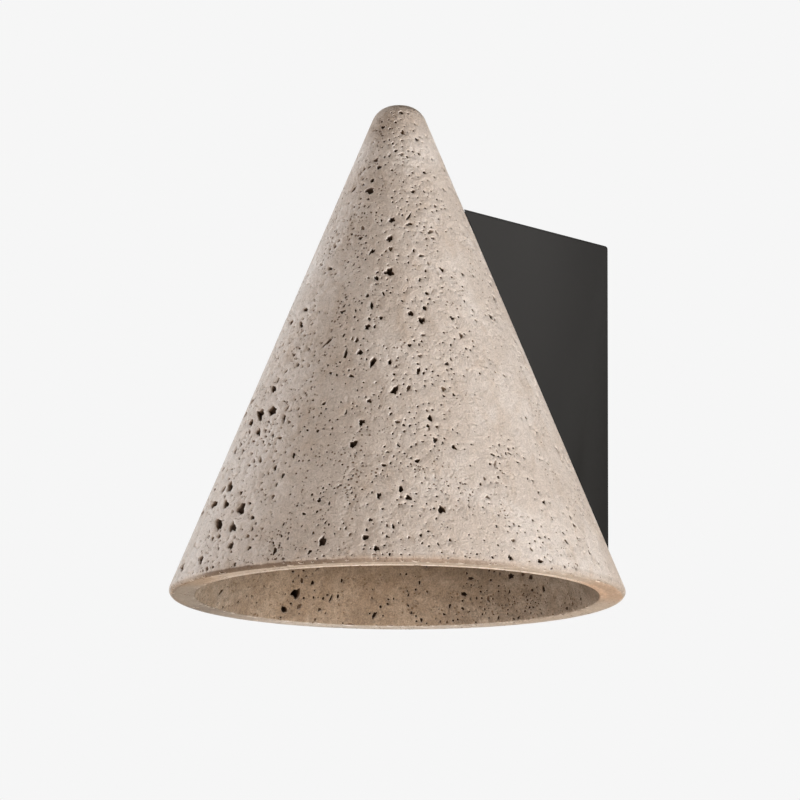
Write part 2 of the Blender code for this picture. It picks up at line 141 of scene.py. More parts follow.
# The stone's main pits: bearing in degrees (0 faces away from the wall, 90 is +X), height,
# width, length along the slope in mm, and lean in degrees (top to the right).
OUTER_PITS = (
    (44, 213, 2, 2, 0), (9, 206, 2.2, 1.9, 30), (46, 203, 1.7, 3.1, -15), (68, 200, 1.6, 2, 20),
    (11, 190, 2.1, 2.5, 35), (17, 186, 2.5, 2.2, 0), (43, 192, 2, 1.8, 0), (69, 184, 1.9, 1.7, 0),
    (12, 180, 2.3, 2, -40), (12, 175, 4.6, 3.8, 0), (-9, 177, 1.9, 3.6, 25), (53, 174, 2, 2.1, 0),
    (72, 168, 1.9, 1.8, 0), (35, 160, 2.9, 3.1, 10), (48, 158, 3.1, 1.7, -15), (13, 157, 1.8, 2.7, -35),
    (63, 155, 3.1, 1.8, -30), (13, 152, 2.3, 1.9, 0), (34, 151, 2.9, 3.6, 15), (35, 146, 1.8, 2.5, -10),
    (23, 145, 2, 3.8, 25), (64, 152, 2, 1.7, 20), (54, 143, 2.7, 1.5, -10), (35, 135, 4.3, 4.5, 25),
    (66, 137, 1.7, 2.7, -15), (28, 132, 1.7, 3.1, -25), (-5, 139, 2.8, 1.7, 25), (24, 124, 1.9, 1.9, 0),
    (27, 119, 1.7, 3.8, -10), (12, 117, 2.8, 2.1, 0), (32, 113, 1.7, 2, 0), (26, 109, 2.7, 2.9, 0),
    (55, 125, 2, 1.9, 0), (53, 118, 2.1, 2.5, -25), (46, 115, 2.7, 2.9, 0), (51, 112, 3.4, 3.7, -25),
    (51, 105, 2.1, 1.6, 0), (69, 106, 1.6, 3.4, 10), (92, 118, 2.8, 2.5, 0), (22, 103, 1.9, 3.1, 5),
    (24, 97, 3, 2.8, 30), (8, 103, 1.7, 6.7, 40), (18, 97, 1.6, 5.4, 5), (30, 92, 2.5, 5.6, 15),
    (45, 100, 1.9, 1.8, 0), (49, 95, 2, 1.9, 0), (60, 92, 2.4, 1.8, -20), (48, 88, 1.7, 3.6, 15),
    (22, 86, 3.1, 1.6, 25), (13, 74, 1.8, 2.1, 40), (39, 79, 2.8, 5, 25), (44, 80, 1.7, 3.8, 25),
    (30, 74, 2.2, 2.5, -15), (28, 64, 3.1, 3.1, 0), (26, 54, 3.1, 4.5, 20), (57, 80, 2.1, 2.7, -10),
    (51, 66, 2.2, 3.4, -5), (52, 56, 2, 3.1, 0), (58, 53, 1.9, 3.1, -30), (40, 64, 2.2, 2, 30),
    (71, 51, 2.4, 1.7, 20), (46, 46, 2.8, 1.8, -30), (36, 44, 2.5, 1.6, 10), (18, 29, 1.7, 2.8, 0),
    (21, 10, 3.2, 5.6, 10), (32, 11, 3.1, 3.1, 0), (33, 19, 2, 2.1, -10), (35, 6, 2.7, 2.9, 0),
    (35, 30, 2, 3.4, 0), (41, 33, 2.2, 3.4, 10), (43, 29, 3.1, 2.5, 40), (52, 24, 2.9, 4.3, -15),
    (66, 31, 2, 1.9, 0), (69, 4, 2.1, 3.1, -10), (78, 4, 3.5, 2.2, 0), (71, 12, 2.1, 1.7, -30),
    (86, 32, 2.3, 1.9, -30), (97, 24, 2.3, 2.1, 0), (-14, 121, 1.9, 4.2, -65), (-13, 114, 1.8, 5.2, -45),
    (-25, 117, 2.5, 4.6, -60), (-5, 94, 2.1, 1.8, 30), (-16, 85, 2.7, 5.6, -50), (-19, 74, 4.2, 9.4, -55),
    (-11, 74, 4.2, 7.2, -60), (-24, 71, 2.8, 6.0, -55), (-38, 78, 3.6, 8.0, -75),
    (-35, 83, 3.0, 5.4, -75), (-15, 65, 2.6, 5.4, -40), (-3, 69, 1.6, 4.8, -15), (-28, 59, 2.3, 5.0, -40),
    (-20, 41, 3.9, 8.0, -45), (-24, 41, 2.8, 3.9, 30), (-18, 33, 3.2, 6.8, -60), (-27, 35, 4.0, 7.6, -78),
    (-9, 29, 4.6, 7.5, -35), (-18, 24, 4.3, 9.4, -50), (-10, 21, 3.9, 6.6, -40), (-39, 34, 4.0, 9.0, -75),
    (-8, 12.5, 3.2, 4.4, -10), (-20, 8.5, 3.2, 5.4, -45), (-33, 8.5, 4.0, 8.0, -78), (8, 7, 2.0, 4.0, 0),
    (6, 51, 1.6, 3.5, -10), (-8, 51, 1.7, 3.7, -35),
)
# Pits of about a millimetre, in the same measures.
SMALL_PITS = (
    (3, 209, 0.9, 1.6, -30), (6, 204.5, 1, 0.9, 0), (3, 203, 0.7, 0.8, 0), (0, 201, 0.7, 0.8, 0),
    (-2, 199, 0.8, 0.8, 0), (18, 209.5, 1, 0.8, 0), (28, 211.5, 0.8, 0.6, 0), (43, 209.5, 0.8, 0.7, 0),
    (31, 202.5, 0.8, 0.8, 0), (34, 200.5, 0.7, 0.8, 0), (44, 199, 1.1, 0.9, 0), (65, 198.5, 0.8, 0.6, 0),
    (77, 199, 0.9, 0.8, 0), (25, 197, 0.9, 0.9, 0), (16, 196, 0.9, 0.8, 0), (33, 196, 1, 0.8, 0),
    (14, 197, 0.7, 0.7, 0), (15, 192, 0.7, 0.9, 0), (14, 188, 0.8, 0.9, 0), (10, 187, 0.8, 0.7, 0),
    (50, 191, 1, 1.5, -20), (38, 189.5, 1, 0.6, 0), (45, 190, 0.8, 0.8, 0), (45, 188.5, 0.9, 0.8, 0),
    (44, 187, 1.1, 0.6, 20), (35, 187, 0.7, 0.8, 0), (36, 185, 0.6, 0.6, 0), (62, 186.5, 0.9, 0.8, 0),
    (57, 186, 0.5, 0.5, 0), (41, 183, 0.7, 0.7, 0), (14, 177, 0.7, 1.1, 0), (12, 171, 1, 1.8, -20),
    (14, 172, 0.8, 0.7, 0), (34, 171, 1, 1.5, -15), (41, 173, 0.9, 0.8, 0), (53, 176, 1.3, 1.1, 0),
    (56, 177, 1, 0.8, 0), (60, 177, 0.6, 0.6, 0), (64, 174.5, 0.9, 1.6, -15), (68, 174, 0.9, 0.8, 0),
    (47, 169, 1.2, 1.2, 0), (48, 167.5, 0.8, 0.8, 0), (39, 166, 0.9, 0.8, 0), (76, 171.5, 1.4, 1, -45),
    (81, 171, 1, 0.8, 0), (78, 167, 1.1, 0.9, 0), (82, 169, 1, 0.8, 0), (14, 167, 1, 1.6, 40),
    (22, 164, 0.9, 1.2, 0), (22, 162.5, 0.8, 0.8, 0), (24, 162, 0.8, 1, -20), (12, 164, 0.7, 1.5, -20),
    (36, 162, 0.8, 2.5, 25), (48, 162, 1, 4.5, 30), (11, 158, 1.5, 0.9, 0), (24, 159, 0.8, 1.2, -30),
    (5, 154.5, 1.4, 1.3, 0), (17, 153, 1.2, 1.4, 0), (56, 154.5, 1.5, 0.9, 20), (58, 155.5, 0.9, 0.8, 0),
    (4, 152, 1, 1.8, 30), (34, 147.5, 1.5, 1.9, 15), (14, 143, 1, 1.3, 20), (8, 141, 1, 1.4, 15),
    (-12, 149, 1.4, 1.2, 20), (28, 141, 0.9, 1.4, 40), (39, 141, 0.8, 0.8, 0), (46, 142.5, 0.9, 1.2, 0),
    (46, 139.5, 0.9, 1.6, 10), (64, 150, 0.8, 0.8, 0), (34, 132.5, 1.1, 1.1, 0), (1, 136, 1, 1.3, 15),
    (0, 134.5, 0.8, 1, 20), (17, 136, 1.4, 0.6, 0), (12, 131, 1.5, 0.8, 25), (12, 124, 1.4, 1.5, -35),
    (10, 122, 1.2, 0.9, 20), (17, 123, 0.9, 1, 20), (20, 121.5, 0.9, 1.4, 30), (15, 120, 1, 1.2, 15),
    (14, 115.5, 1.4, 0.5, 0), (19, 117, 0.8, 2.2, -20), (19, 114, 1.5, 1.4, 0), (12, 111.5, 0.9, 0.9, 0),
    (16, 108.5, 0.8, 1, 20), (34, 126, 1.1, 1, 0), (36, 125, 1, 1.4, -20), (43, 125, 0.8, 0.9, 0),
    (34, 128.5, 0.8, 0.9, 0), (56, 122.5, 1.3, 1.3, -20), (42, 121, 1, 1.7, -35), (70, 115, 1.2, 1.3, 0),
    (76, 123, 0.9, 1.7, 10), (92, 115.5, 1, 1.3, -30), (24, 100.5, 1, 1.2, 0), (25, 99, 0.9, 1, 0),
    (24, 95, 0.8, 0.8, 0), (16, 93, 1.5, 1, 30), (15, 91, 1.2, 0.8, 0), (14, 90, 1, 1, 0),
    (20, 93.5, 1.1, 0.9, 0), (33, 93, 0.9, 0.9, 0), (40, 94, 0.9, 1.2, -20), (46, 104, 0.8, 0.7, 0),
    (49, 100.5, 0.8, 2, -10), (48, 97, 1.1, 0.7, 0), (62, 94.5, 0.9, 2, -20), (68, 97, 0.9, 0.8, 0),
    (50, 87, 1.1, 2, 20), (13, 88, 1.6, 2, -20), (19, 87, 0.9, 1.4, 30), (61, 85, 1, 0.9, 0),
    (68, 90, 1, 0.6, 0), (-19, 102.5, 1.3, 1.5, -20), (8, 76, 1.6, 1.3, 0), (10, 68, 1, 1.6, -10),
    (18, 62, 1.2, 1.6, 10), (28, 61, 1.2, 1.1, 0), (34, 78, 1, 1, 0), (26, 76, 0.8, 0.8, 0),
    (22, 69, 1, 2.9, 10), (24, 73, 0.9, 1.1, 0), (12, 53, 0.9, 1.5, -25), (37, 50, 1.6, 1.3, 0),
    (36, 52.5, 1.2, 1.2, 0), (38, 45, 0.9, 1.7, 30), (27, 42.5, 1.4, 0.9, -20), (41, 77, 1, 1.5, 20),
    (50, 62.5, 1.3, 2.2, -10), (52, 70, 1.3, 1.3, 0), (51, 73, 1, 1.1, 0), (49, 72.5, 0.9, 0.9, 0),
    (64, 55, 1.3, 1.1, 0), (53, 82, 1, 1.6, -25), (42, 62.5, 1.2, 1.5, 0), (44, 68.5, 1.1, 1.2, 0),
    (46, 63, 1, 0.9, 0), (48, 55, 1.5, 1, 0), (44, 44.5, 1, 1.7, -25), (41, 45, 1.1, 1.2, 0),
    (73, 50.5, 1.4, 1.3, 0), (56, 66, 1.3, 0.9, 0), (80, 49, 1.7, 1, -15), (80, 55.5, 1.5, 1, -35),
    (87, 90, 1.3, 1.6, -30), (9, 9.5, 1, 2, -15), (18, 5.5, 1.6, 2.9, 25), (18, 2.5, 1, 1.8, -10),
    (21, 12.5, 1.6, 2.2, -10), (21, 14, 1, 1, 0), (22, 17.5, 0.9, 1.8, 0), (21, 18.5, 0.8, 2.2, 20),
    (19, 17.5, 1.2, 1, -35), (19, 30.5, 0.9, 1, 0), (19, 32.5, 0.8, 1.3, 0), (18, 32, 0.8, 1.5, 15),
    (22, 34, 1.2, 1.2, 0), (27, 39.5, 0.9, 1.4, 30), (27, 42.5, 1.2, 0.9, 0), (27, 26.5, 0.9, 1.5, 30),
    (28, 28.5, 1, 1.2, 35), (32, 7.5, 1.3, 1, 0), (36, 31, 1.6, 1, -30), (33, 31.5, 1, 1.5, 10),
    (32, 31, 0.9, 0.9, 0), (36, 18, 1, 1, 0), (50, 24.5, 1.3, 1.3, 0), (48, 26.5, 0.8, 1.2, 15),
    (51, 30, 1.4, 1, -20), (49, 33.5, 1.3, 0.9, 30), (47, 36, 1.1, 1, 0), (46, 12, 1.3, 2.1, 0),
    (48, 14, 1.3, 1.3, -20), (39, 16, 1.2, 2.7, -10), (40, 28, 1, 1.2, 20), (41, 10, 1.2, 0.8, 20),
    (42, 5.5, 0.9, 0.8, 0), (51, 4.5, 1, 0.9, 0), (54, 4.5, 0.8, 0.8, 0), (68, 38, 0.7, 1.2, 0),
    (57, 28.5, 0.9, 0.9, 0), (58, 32, 0.8, 0.8, 0), (70, 16, 1, 1.2, -20), (80, 15, 1.4, 1.4, 0),
    (82, 15.5, 1.3, 1.4, -10), (74, 19, 1.5, 1, -20), (80, 18, 0.9, 0.9, 0), (78, 13, 1.1, 1.2, 0),
    (76, 11.5, 1.1, 1, -30), (84, 28, 1.1, 0.9, 0), (90, 15, 1.7, 2.7, -30), (64, 3.5, 1.1, 1.7, -25),
    (64, 1, 1.2, 1.2, 20), (60, 4.5, 1.4, 1.1, -30), (61, 5, 0.9, 0.8, 0), (90, 2.5, 0.9, 3, -20),
    (-10, 99.5, 1.6, 2.2, -50), (-15, 88.5, 1.5, 3.4, -10), (-22, 66.5, 1.3, 3.4, -35),
    (-3, 74, 1.1, 3.2, 10), (0, 67, 1.4, 2.4, -40), (-11, 69, 1.3, 2.2, -55), (-11, 65, 1.6, 2.5, -50),
    (-8.5, 64, 1.0, 1.7, -60), (-6, 62, 1.3, 2.4, -40), (-9.5, 62, 1.2, 1.8, -50),
    (-2, 60, 1.4, 2.9, -70), (-16, 61, 1.1, 2.6, -70), (-25, 61.5, 1.5, 3.0, -55),
    (-21, 57.5, 1.8, 3.6, -30), (-11, 51, 1.3, 2.8, -25), (-13, 49.5, 1.2, 2.2, -60),
    (0, 46, 1.7, 3.2, -20), (4, 42, 1.7, 2.9, -5), (2.5, 38, 1.3, 2.4, -5), (-35, 52.5, 1.9, 5.0, -80),
    (-24, 50, 1.1, 3.0, -65), (-23, 45.5, 1.8, 3.2, -65), (-21, 37.2, 1.2, 2.6, -60),
    (-34, 43.5, 1.5, 5.0, -75), (-12, 37, 1.7, 2.9, -60), (-6, 31, 1.3, 2.4, -45),
    (-3, 24, 1.9, 3.0, -35), (-7.5, 25, 1.1, 2.2, -65), (2.5, 32.5, 1.7, 2.4, -15),
    (-18, 17.5, 1.8, 3.1, -45), (-15, 18, 1.8, 3.0, -30), (-7.5, 16, 1.5, 2.8, -20),
    (-2.5, 15.5, 1.8, 2.5, -25), (-13, 12, 1.3, 2.6, -55), (11, 1.8, 1.6, 2.3, -65),
    (-15, 3.6, 2.0, 3.0, -55), (-12.5, 3.6, 1.5, 2.2, -55), (-4, 3.2, 1.8, 2.5, -30),
    (-1, 21, 1.2, 1.8, -40),
)
# Shallow scars, no darker than the stone.
SCARS = (
    (68, 155, 1.4, 2.4, -20), (58, 139.5, 1.2, 2.4, 0), (62, 136, 0.8, 3.4, -30), (58, 126, 0.7, 4, 25),
    (63, 126, 1.4, 1.4, 30), (47, 121, 0.7, 1.5, -35), (92, 123.5, 1.5, 1.2, 0), (66, 109.5, 0.9, 2, -35),
    (22, 75, 0.6, 3, 0), (73, 53, 1, 2, -15), (71, 47, 1.2, 4, 25), (58, 70, 1, 1.8, -5),
    (92, 67.5, 1.2, 0.9, -30), (2, 18, 1.2, 2, 0), (-10, 16, 0.8, 3, 15), (28, 12.5, 1.3, 2, 10),
    (47, 24, 1.4, 2, -10), (70, 38, 1.8, 1.6, -30), (80, 11.5, 0.6, 3.4, -60),
)
# Pits of the inner wall.
INNER_PITS = (
    (-107, 12, 5, 5, 10), (-104, 4.8, 4, 3, 40), (-109, 6.6, 2.2, 2.8, 30), (-74, 7, 1.8, 4.4, 30),
    (-108, 17.5, 1.6, 2.8, -20), (-112, 17, 1.8, 2.2, 0), (-133, 4.6, 1.6, 3.8, 25),
    (-161, 13, 3.4, 2.2, 15), (-164, 19.5, 3.6, 1.5, 0), (-116, 6, 2, 1.6, 0), (-179, 19, 2.5, 3.6, 85),
    (176, 19, 1.8, 2.4, 80), (173, 17.3, 2.1, 3.1, 75), (-169, 10, 1.5, 3.8, -10),
    (169, 11.7, 2, 2.9, 10),
)
# Smaller pits of the inner wall, in the same measures.
SMALL_INNER_PITS = (
    (-104, 21, 1.8, 1.1, 0), (-105, 16.8, 1.2, 1.3, 0), (-108, 21.8, 1.6, 1, 10),
    (-106.5, 19.4, 0.9, 1.2, 0), (-106, 7.4, 1.3, 1.3, 0), (-110, 10.3, 1.2, 1.4, 30),
    (-115, 1.6, 1.3, 1.6, 15), (-119, 11, 1, 4, 15), (-118, 4.5, 0.9, 1.2, 10), (-131, 20, 0.9, 2, 10),
    (-130.5, 15.5, 0.9, 1.8, -15), (-137, 9.5, 1.3, 1.3, 0), (-143, 15, 0.8, 1, 0),
    (-145.5, 4.4, 1.2, 1.1, 0), (-145.6, 2.2, 1.2, 1, 0), (-147, 18.5, 1.1, 2, 0),
    (-148.5, 1.2, 0.8, 0.9, 0), (-154, 4.9, 1.5, 1.2, 20), (-160, 7, 1.8, 1.2, 40),
    (-163.5, 0.9, 1.2, 0.9, -20), (-157, 12, 0.9, 0.9, 0), (-165, 11, 1, 1.6, 20), (-85, 5, 1, 1.6, 30),
    (-88, 8, 0.9, 1.2, 20), (-93, 6, 0.9, 1.1, 0), (174, 18.4, 1, 1.3, 65), (-171, 18.1, 1.2, 1.4, 55),
    (-173, 21.6, 0.9, 1.3, 85), (-175, 20.5, 0.9, 1.9, 15), (-169, 14, 0.7, 1.2, 40),
    (-168, 13.1, 0.7, 1.2, 35), (-173, 13.2, 0.9, 1.2, 85), (-177, 12.7, 0.9, 2.5, 35),
    (-167, 6.1, 1, 1.4, 40), (-166, 4.1, 1, 1.4, 45), (-168, 8.2, 0.7, 0.9, 80),
    (-168, 2.4, 0.8, 0.9, 40), (-171, 1.9, 0.8, 2.4, 25), (168, 12.7, 1, 1.7, 85),
    (174, 12, 1.4, 1.9, 75), (175, 11.1, 1, 1.6, 85), (174, 13.5, 0.9, 1.2, 70), (172, 10.5, 0.7, 1, 80),
    (171, 9.4, 0.8, 1.1, 75), (177, 9.7, 0.9, 1.5, 60), (178, 8.8, 0.8, 1, 50), (177, 8.2, 0.9, 1.6, 90),
    (177, 5, 1.1, 1.6, 65), (178, 5.8, 0.8, 1.2, 85), (178, 4.3, 0.7, 1.2, 85), (179, 3.7, 0.9, 1.4, 85),
    (180, 2.6, 1.1, 2.6, 60), (-178, 1.4, 1, 2.2, 60), (-178, 4.5, 0.6, 1, 85), (-176, 2.7, 0.6, 0.9, 80),
    (177, 2.6, 0.8, 1.3, 5), (177, 1.4, 0.8, 1.2, 30), (174, 6.7, 0.7, 1.2, 90), (175, 7.8, 0.7, 0.9, 70),
    (173, 8.6, 0.6, 1, 85), (176, 6.7, 0.8, 1, 55), (173, 6.1, 0.6, 1, 85), (172, 8.3, 0.7, 1, 80),
    (173, 3.7, 0.7, 1, 80), (173, 2, 0.8, 1.8, 5), (157, 3.4, 1.6, 2.4, 35), (159, 3.5, 1.1, 1.4, 30),
    (161, 2, 1.5, 2.4, 75), (161, 4.3, 0.7, 1.7, 90), (151, 4.3, 1, 2.5, 75), (-177, 7, 0.8, 0.9, 60),
    (-179, 9.2, 0.7, 0.8, 60),
)
# Pits in the flat of the rim: bearing, distance from the axis, length round it and width in mm.
RIM_PITS = (
    (34.7, 95.0, 3.2, 1.2), (87.7, 96.2, 3.8, 1.1), (-12, 95.5, 2.2, 0.9), (13, 94.5, 1.4, 0.8),
    (60, 96, 1.2, 0.8), (-9, 97.6, 3.6, 1.4), (-4, 90.6, 4.4, 1.6), (94, 92, 1.2, 0.8),
    (100, 95, 1.6, 0.9), (22, 97.5, 1.6, 0.8), (120, 92.5, 2.4, 1.0), (123.5, 93.8, 1.8, 0.9),
    (118, 94.4, 1.2, 0.8), (111, 96.6, 2.2, 0.8), (127, 91.4, 1.4, 0.8), (68.8, 95.9, 2.2, 0.8),
    (140, 92, 2.6, 1.0), (185, 93, 3.0, 1.1), (214, 95, 2.0, 1.1), (262, 94, 3.4, 1.2),
    (290, 95, 1.8, 0.9),
)
# Where nothing is listed, the pits gather along upright bands. Lengths in mm.
HIDDEN_BANDS = (108, 121, 137, 150, 168, 192, 207, 221, 236, 252, 266, 279, 293, 306)
HIDDEN_PITS = 62
HIDDEN_HEIGHTS = (4.0, 205.0)
BAND_SPREAD = 2.5
PIT_SPACING = 6.0
SEAT_SPACING = 14.0
PIT_SEED = 11
SEAM_BEARING = 229.5

# The forms a pit takes by its size in mm: corners of its outline, and for each ring inside it
# the share of the outline it is drawn at, the share it ends up at, and its share of the depth.
PIT_FORMS = (
    (2.1, 18, ((1.0, 1.0, 0.0), (0.91, 0.95, 0.40), (0.74, 0.84, 0.80), (0.42, 0.52, 1.0))),
    (1.3, 12, ((1.0, 1.0, 0.0), (0.89, 0.94, 0.55), (0.62, 0.74, 1.0))),
    (0.8, 8, ((1.0, 1.0, 0.0), (0.82, 0.90, 1.0))),
    (0.0, 5, ((1.0, 1.0, 0.0), (0.80, 0.90, 1.0))),
)
LOBES = ((1, 0.06), (2, 0.12), (3, 0.22), (5, 0.20), (7, 0.10))
MOST_REACH = 1.14
MOST_BEND = 0.45
MOST_TAPER = 0.4
# Clearances in mm between two pits, and in metres between a pit and a point of the plain surface.
PIT_CLEARANCE = 0.55
PLAIN_CLEARANCE = 0.45 * MM
# The depth of a pit against its width, what is added to it in mm, and shares of it by kind.
PIT_DEPTH_TO_WIDTH = 0.95
LEAST_DEPTH = 0.25
SCAR_DEPTH = 0.3
CHIP_DEPTH = 0.35
RIM_PIT_DEPTH = 0.6
SHALLOW_DEPTH = 0.5
# The chance that a pit is shallow, if its size in mm is between these.
SHALLOW_CHANCE = 0.35
SHALLOW_SIZES = (1.3, 2.7)
# The worn lip round a pit, what marks it among the depths, and how deep stone is where its painted shade is
# darkest.
LIP_WIDTH = 0.30 * MM
LIP_DEPTH = 0.20 * MM
LIP_MARK = -0.2
DEEP = 1.8 * MM

# How the small pits are strewn: round the larger ones, along the rim and over all the rest.
SMALL_WIDTH = 0.60
SMALL_WIDTH_SPREAD = 0.72
KIN_EACH = 2
KIN_ALONG = 6.5 * MM
KIN_ASIDE = 2.2 * MM
RIM_CHIPS = 130
STRAYS_BELOW = {"outside": 214.0 * MM, "inside": 185.0 * MM}
QUIET_BEARINGS = ((62.0, 104.0), (135.0, 300.0))
QUIET_SHARE = 0.35
GROWN_CHANCE = 0.06
GROWN_SIZE = 1.9

# The stone's patterns: its bed, and the size of one patch or grain of each pattern.
BED_TURN = (0.0, math.radians(14), math.radians(25))
BED_STRETCH = (1.0, 1.0, 0.22)
CLOUD_SIZE = 34 * MM
VEIN_SIZE = 9 * MM
STREAK_SIZE = 16 * MM
PATCH_SIZE = 11 * MM
MOTTLE_SIZE = 3.4 * MM
GRAIN_SIZE = 0.7 * MM
CROWD_SIZE = 13 * MM
PORE_SIZE = 1.4 * MM
DIMPLE_SIZE = 2.3 * MM
DIRT_SIZE = 4 * MM
RELIEF = 0.45 * MM
# How far from the wall the bracket's painted sheen is at its palest.
SHEEN_FROM_WALL = 60 * MM

# The zones of the rim, each from where it starts to where it is full: distances from the axis
# and heights. The edges of some are ragged.
FLAT_RADII = (98.0 * MM, 97.2 * MM)
FLAT_HEIGHTS = (0.5 * MM, 0.3 * MM)
ARRIS_RADII = (MOUTH_RADIUS + 4.6 * MM, MOUTH_RADIUS + 2.2 * MM)
EDGE_RADII = (96.4 * MM, 97.0 * MM)
EDGE_HEIGHTS = (2.0 * MM, 1.2 * MM)
SHOULDER_RADII = (97.0 * MM, 97.8 * MM)
SHOULDER_HEIGHTS = (4.2 * MM, 1.8 * MM)
RAGGED = 1.2 * MM
# Heights over which the hollow is painted darker as shade.
SHADED_HEIGHTS = (12 * MM, 32 * MM)

# Stains, painted shade and painted highlights: bearing in degrees, reach, and the tint that the stone is
# multiplied by; over 1 is paler.
# The rim's flat.
FLAT_STAINS = (
    (-55, 68 * MM, (0.66, 0.67, 0.68)), (-23, 22 * MM, (0.86, 0.78, 0.70)),
    (118, 44 * MM, (1.00, 0.87, 0.78)), (275, 40 * MM, (0.82, 0.83, 0.85)),
    (228, 80 * MM, (1.16, 1.24, 1.34)),
)
# Painted shade on its rounded outer edge.
EDGE_SHADE = (
    (6, 60 * MM, (0.36, 0.31, 0.27)), (-34, 24 * MM, (0.86, 0.82, 0.78)),
    (50, 44 * MM, (0.68, 0.64, 0.61)),
)
# The stone just above that edge, made darker.
SHOULDER_TINTS = ((98, 84 * MM, (0.75, 0.74, 0.73)), (42, 44 * MM, (0.82, 0.78, 0.74)))
# Painted highlight along the flat's inner edge.
ARRIS_HIGHLIGHTS = (
    (52, 90 * MM, (1.96, 2.04, 2.16)), (108, 50 * MM, (1.36, 1.36, 1.36)),
    (-8, 50 * MM, (1.24, 1.26, 1.30)),
)
# The hollow near the rim, and painted shade on the front of the tip.
INNER_STAINS = ((-122, 84 * MM, (1.03, 0.98, 0.92)),)
TIP_SHADE = ((20, 30 * MM, (0.78, 0.74, 0.70)),)

# The world outside the light.
FLOOR_BELOW = 3.3
FLOOR_HALF_WIDTH = 40.0
FLOOR_PAINT = ((0.80, 0.80, 0.80), (0.84, 0.84, 0.84))
FLOOR_GLOW = (0.94, 0.98)
WORLD_TINT = (1.0, 0.64, 0.20)
WORLD_STRENGTH = 0.104
SOFT_LIGHT_SIZE = 1.0
SOFT_LIGHT_DISTANCE = 2.3
# Soft lights: name, bearing and climb in degrees, watts and tint.
SOFT_LIGHTS = (
    ("right_softbox", 95, -8, 51.0, (1.0, 1.0, 0.98)),
    ("right_back_softbox", 130, 10, 5.0, (1.0, 0.85, 0.90)),
    ("right_low_softbox", 100, -38, 19.7, (1.0, 0.76, 0.485)),
    ("left_high_softbox", -80, 28, 43.7, (0.922, 0.966, 1.0)),
    ("left_softbox", -80, -10, 11.0, (1.0, 0.956, 0.956)),
    ("left_back_softbox", -115, 10, 5.4, (0.44, 0.92, 1.0)),
    ("left_low_softbox", -60, -45, 7.1, (0.98, 1.0, 0.88)),
    ("front_softbox", 10, -14, 24.0, (1.0, 0.85, 0.75)),
    ("bottom_softbox", 30, -80, 5.2, (1.0, 0.45, 0.12)),
)


# ---------------------------------------------------------------- settings


def length(name, description, default):
    return bpy.props.FloatProperty(
        name=name, description=description, default=default, min=0.0, subtype="DISTANCE", unit="LENGTH"
    )


def share(name, description, default):
    return bpy.props.FloatProperty(
        name=name, description=description, default=default, min=0.0, max=2.0, subtype="FACTOR"
    )


def colour(name, description, default):
    return bpy.props.FloatVectorProperty(
        name=name, description=description, default=default, size=3, min=0.0, max=1.0, subtype="COLOR"
    )


def count(name, description, default):
    return bpy.props.IntProperty(name=name, description=description, default=default, min=0)


class StoneSettings(bpy.types.PropertyGroup):
    pit_depth: share("Pit depth", "How deep the pits go, against their usual depth", 1.0)
    wave_height: length("Wave height", "How far the honed surface wanders inwards", 0.10 * MM)
    wave_size: length("Wave size", "Distance from one hollow of the surface to the next", 24 * MM)
    strays: count("Stray pits", "Small pits strewn over the outside, away from the main ones", 815)
    inner_strays: count("Inner stray pits", "Small pits strewn over the inside", 300)
    seed: count("Seed", "Changes where the small pits fall", 5)
    stone: colour("Stone", "The stone's main colour", (0.537, 0.490, 0.464))
    pale: colour("Pale stone", "Cloudy pale places", (0.608, 0.575, 0.564))
    tan: colour("Tan stone", "Warm veins and stains", (0.447, 0.370, 0.312))
    # The hollow's colours are darker than the outside's, partly as painted shade.
    raw_pale: colour("Raw pale", "Pale patches of the unhoned hollow", (0.308, 0.267, 0.231))
    raw_dark: colour("Raw dark", "Brown patches of the unhoned hollow", (0.236, 0.194, 0.159))
    # Pit colours: stain and painted shade, darker the deeper a point lies.
    wall: colour("Pit wall", "The stained upper wall of a pit", (0.175, 0.120, 0.080))
    pit: colour("Pit floor", "The dark bottom of a deep pit", (0.042, 0.027, 0.018))


class MetalSettings(bpy.types.PropertyGroup):
    coat: colour("Coat", "Black powder coat of the bracket and screw", (0.0215, 0.0226, 0.0242))
    zinc: colour("Zinc", "Plating of the wall plate, tube and nut", (0.560, 0.565, 0.570))
    thread_pitch: length("Thread pitch", "Distance between two turns of the tube's thread", THREAD_PITCH)


class LampSettings(bpy.types.PropertyGroup):
    ceramic: colour("Ceramic", "Glazed body of the lamp socket", (0.800, 0.780, 0.730))
    glass: colour("Glass", "Frosted glass of the bulb", (0.860, 0.860, 0.830))


class StageSettings(bpy.types.PropertyGroup):
    camera_bearing: bpy.props.FloatProperty(
        name="Camera bearing", description="Turn of the camera about the cone's axis", subtype="ANGLE",
        unit="ROTATION", default=math.radians(40.11),
    )
    camera_pitch: bpy.props.FloatProperty(
        name="Camera pitch", description="How far the camera looks up", subtype="ANGLE",
        unit="ROTATION", default=math.radians(10.508),
    )
    camera_roll: bpy.props.FloatProperty(
        name="Camera roll", description="Turn of the camera about its own line of sight", subtype="ANGLE",
        unit="ROTATION", default=math.radians(0.234),
    )
    camera_distance: length("Camera distance", "Level distance from the cone's axis", 2.57986)
    camera_drop: length("Camera drop", "How far the camera is below the rim", 0.39168)
    camera_aside: length("Camera aside", "How far the camera is to the right of the axis", 0.87 * MM)
    lens: bpy.props.FloatProperty(name="Lens", description="Focal length in mm", default=271.044, min=1.0)
    backdrop: colour("Backdrop", "Colour behind the light", (0.922, 0.922, 0.922))


# ---------------------------------------------------------------- nodes


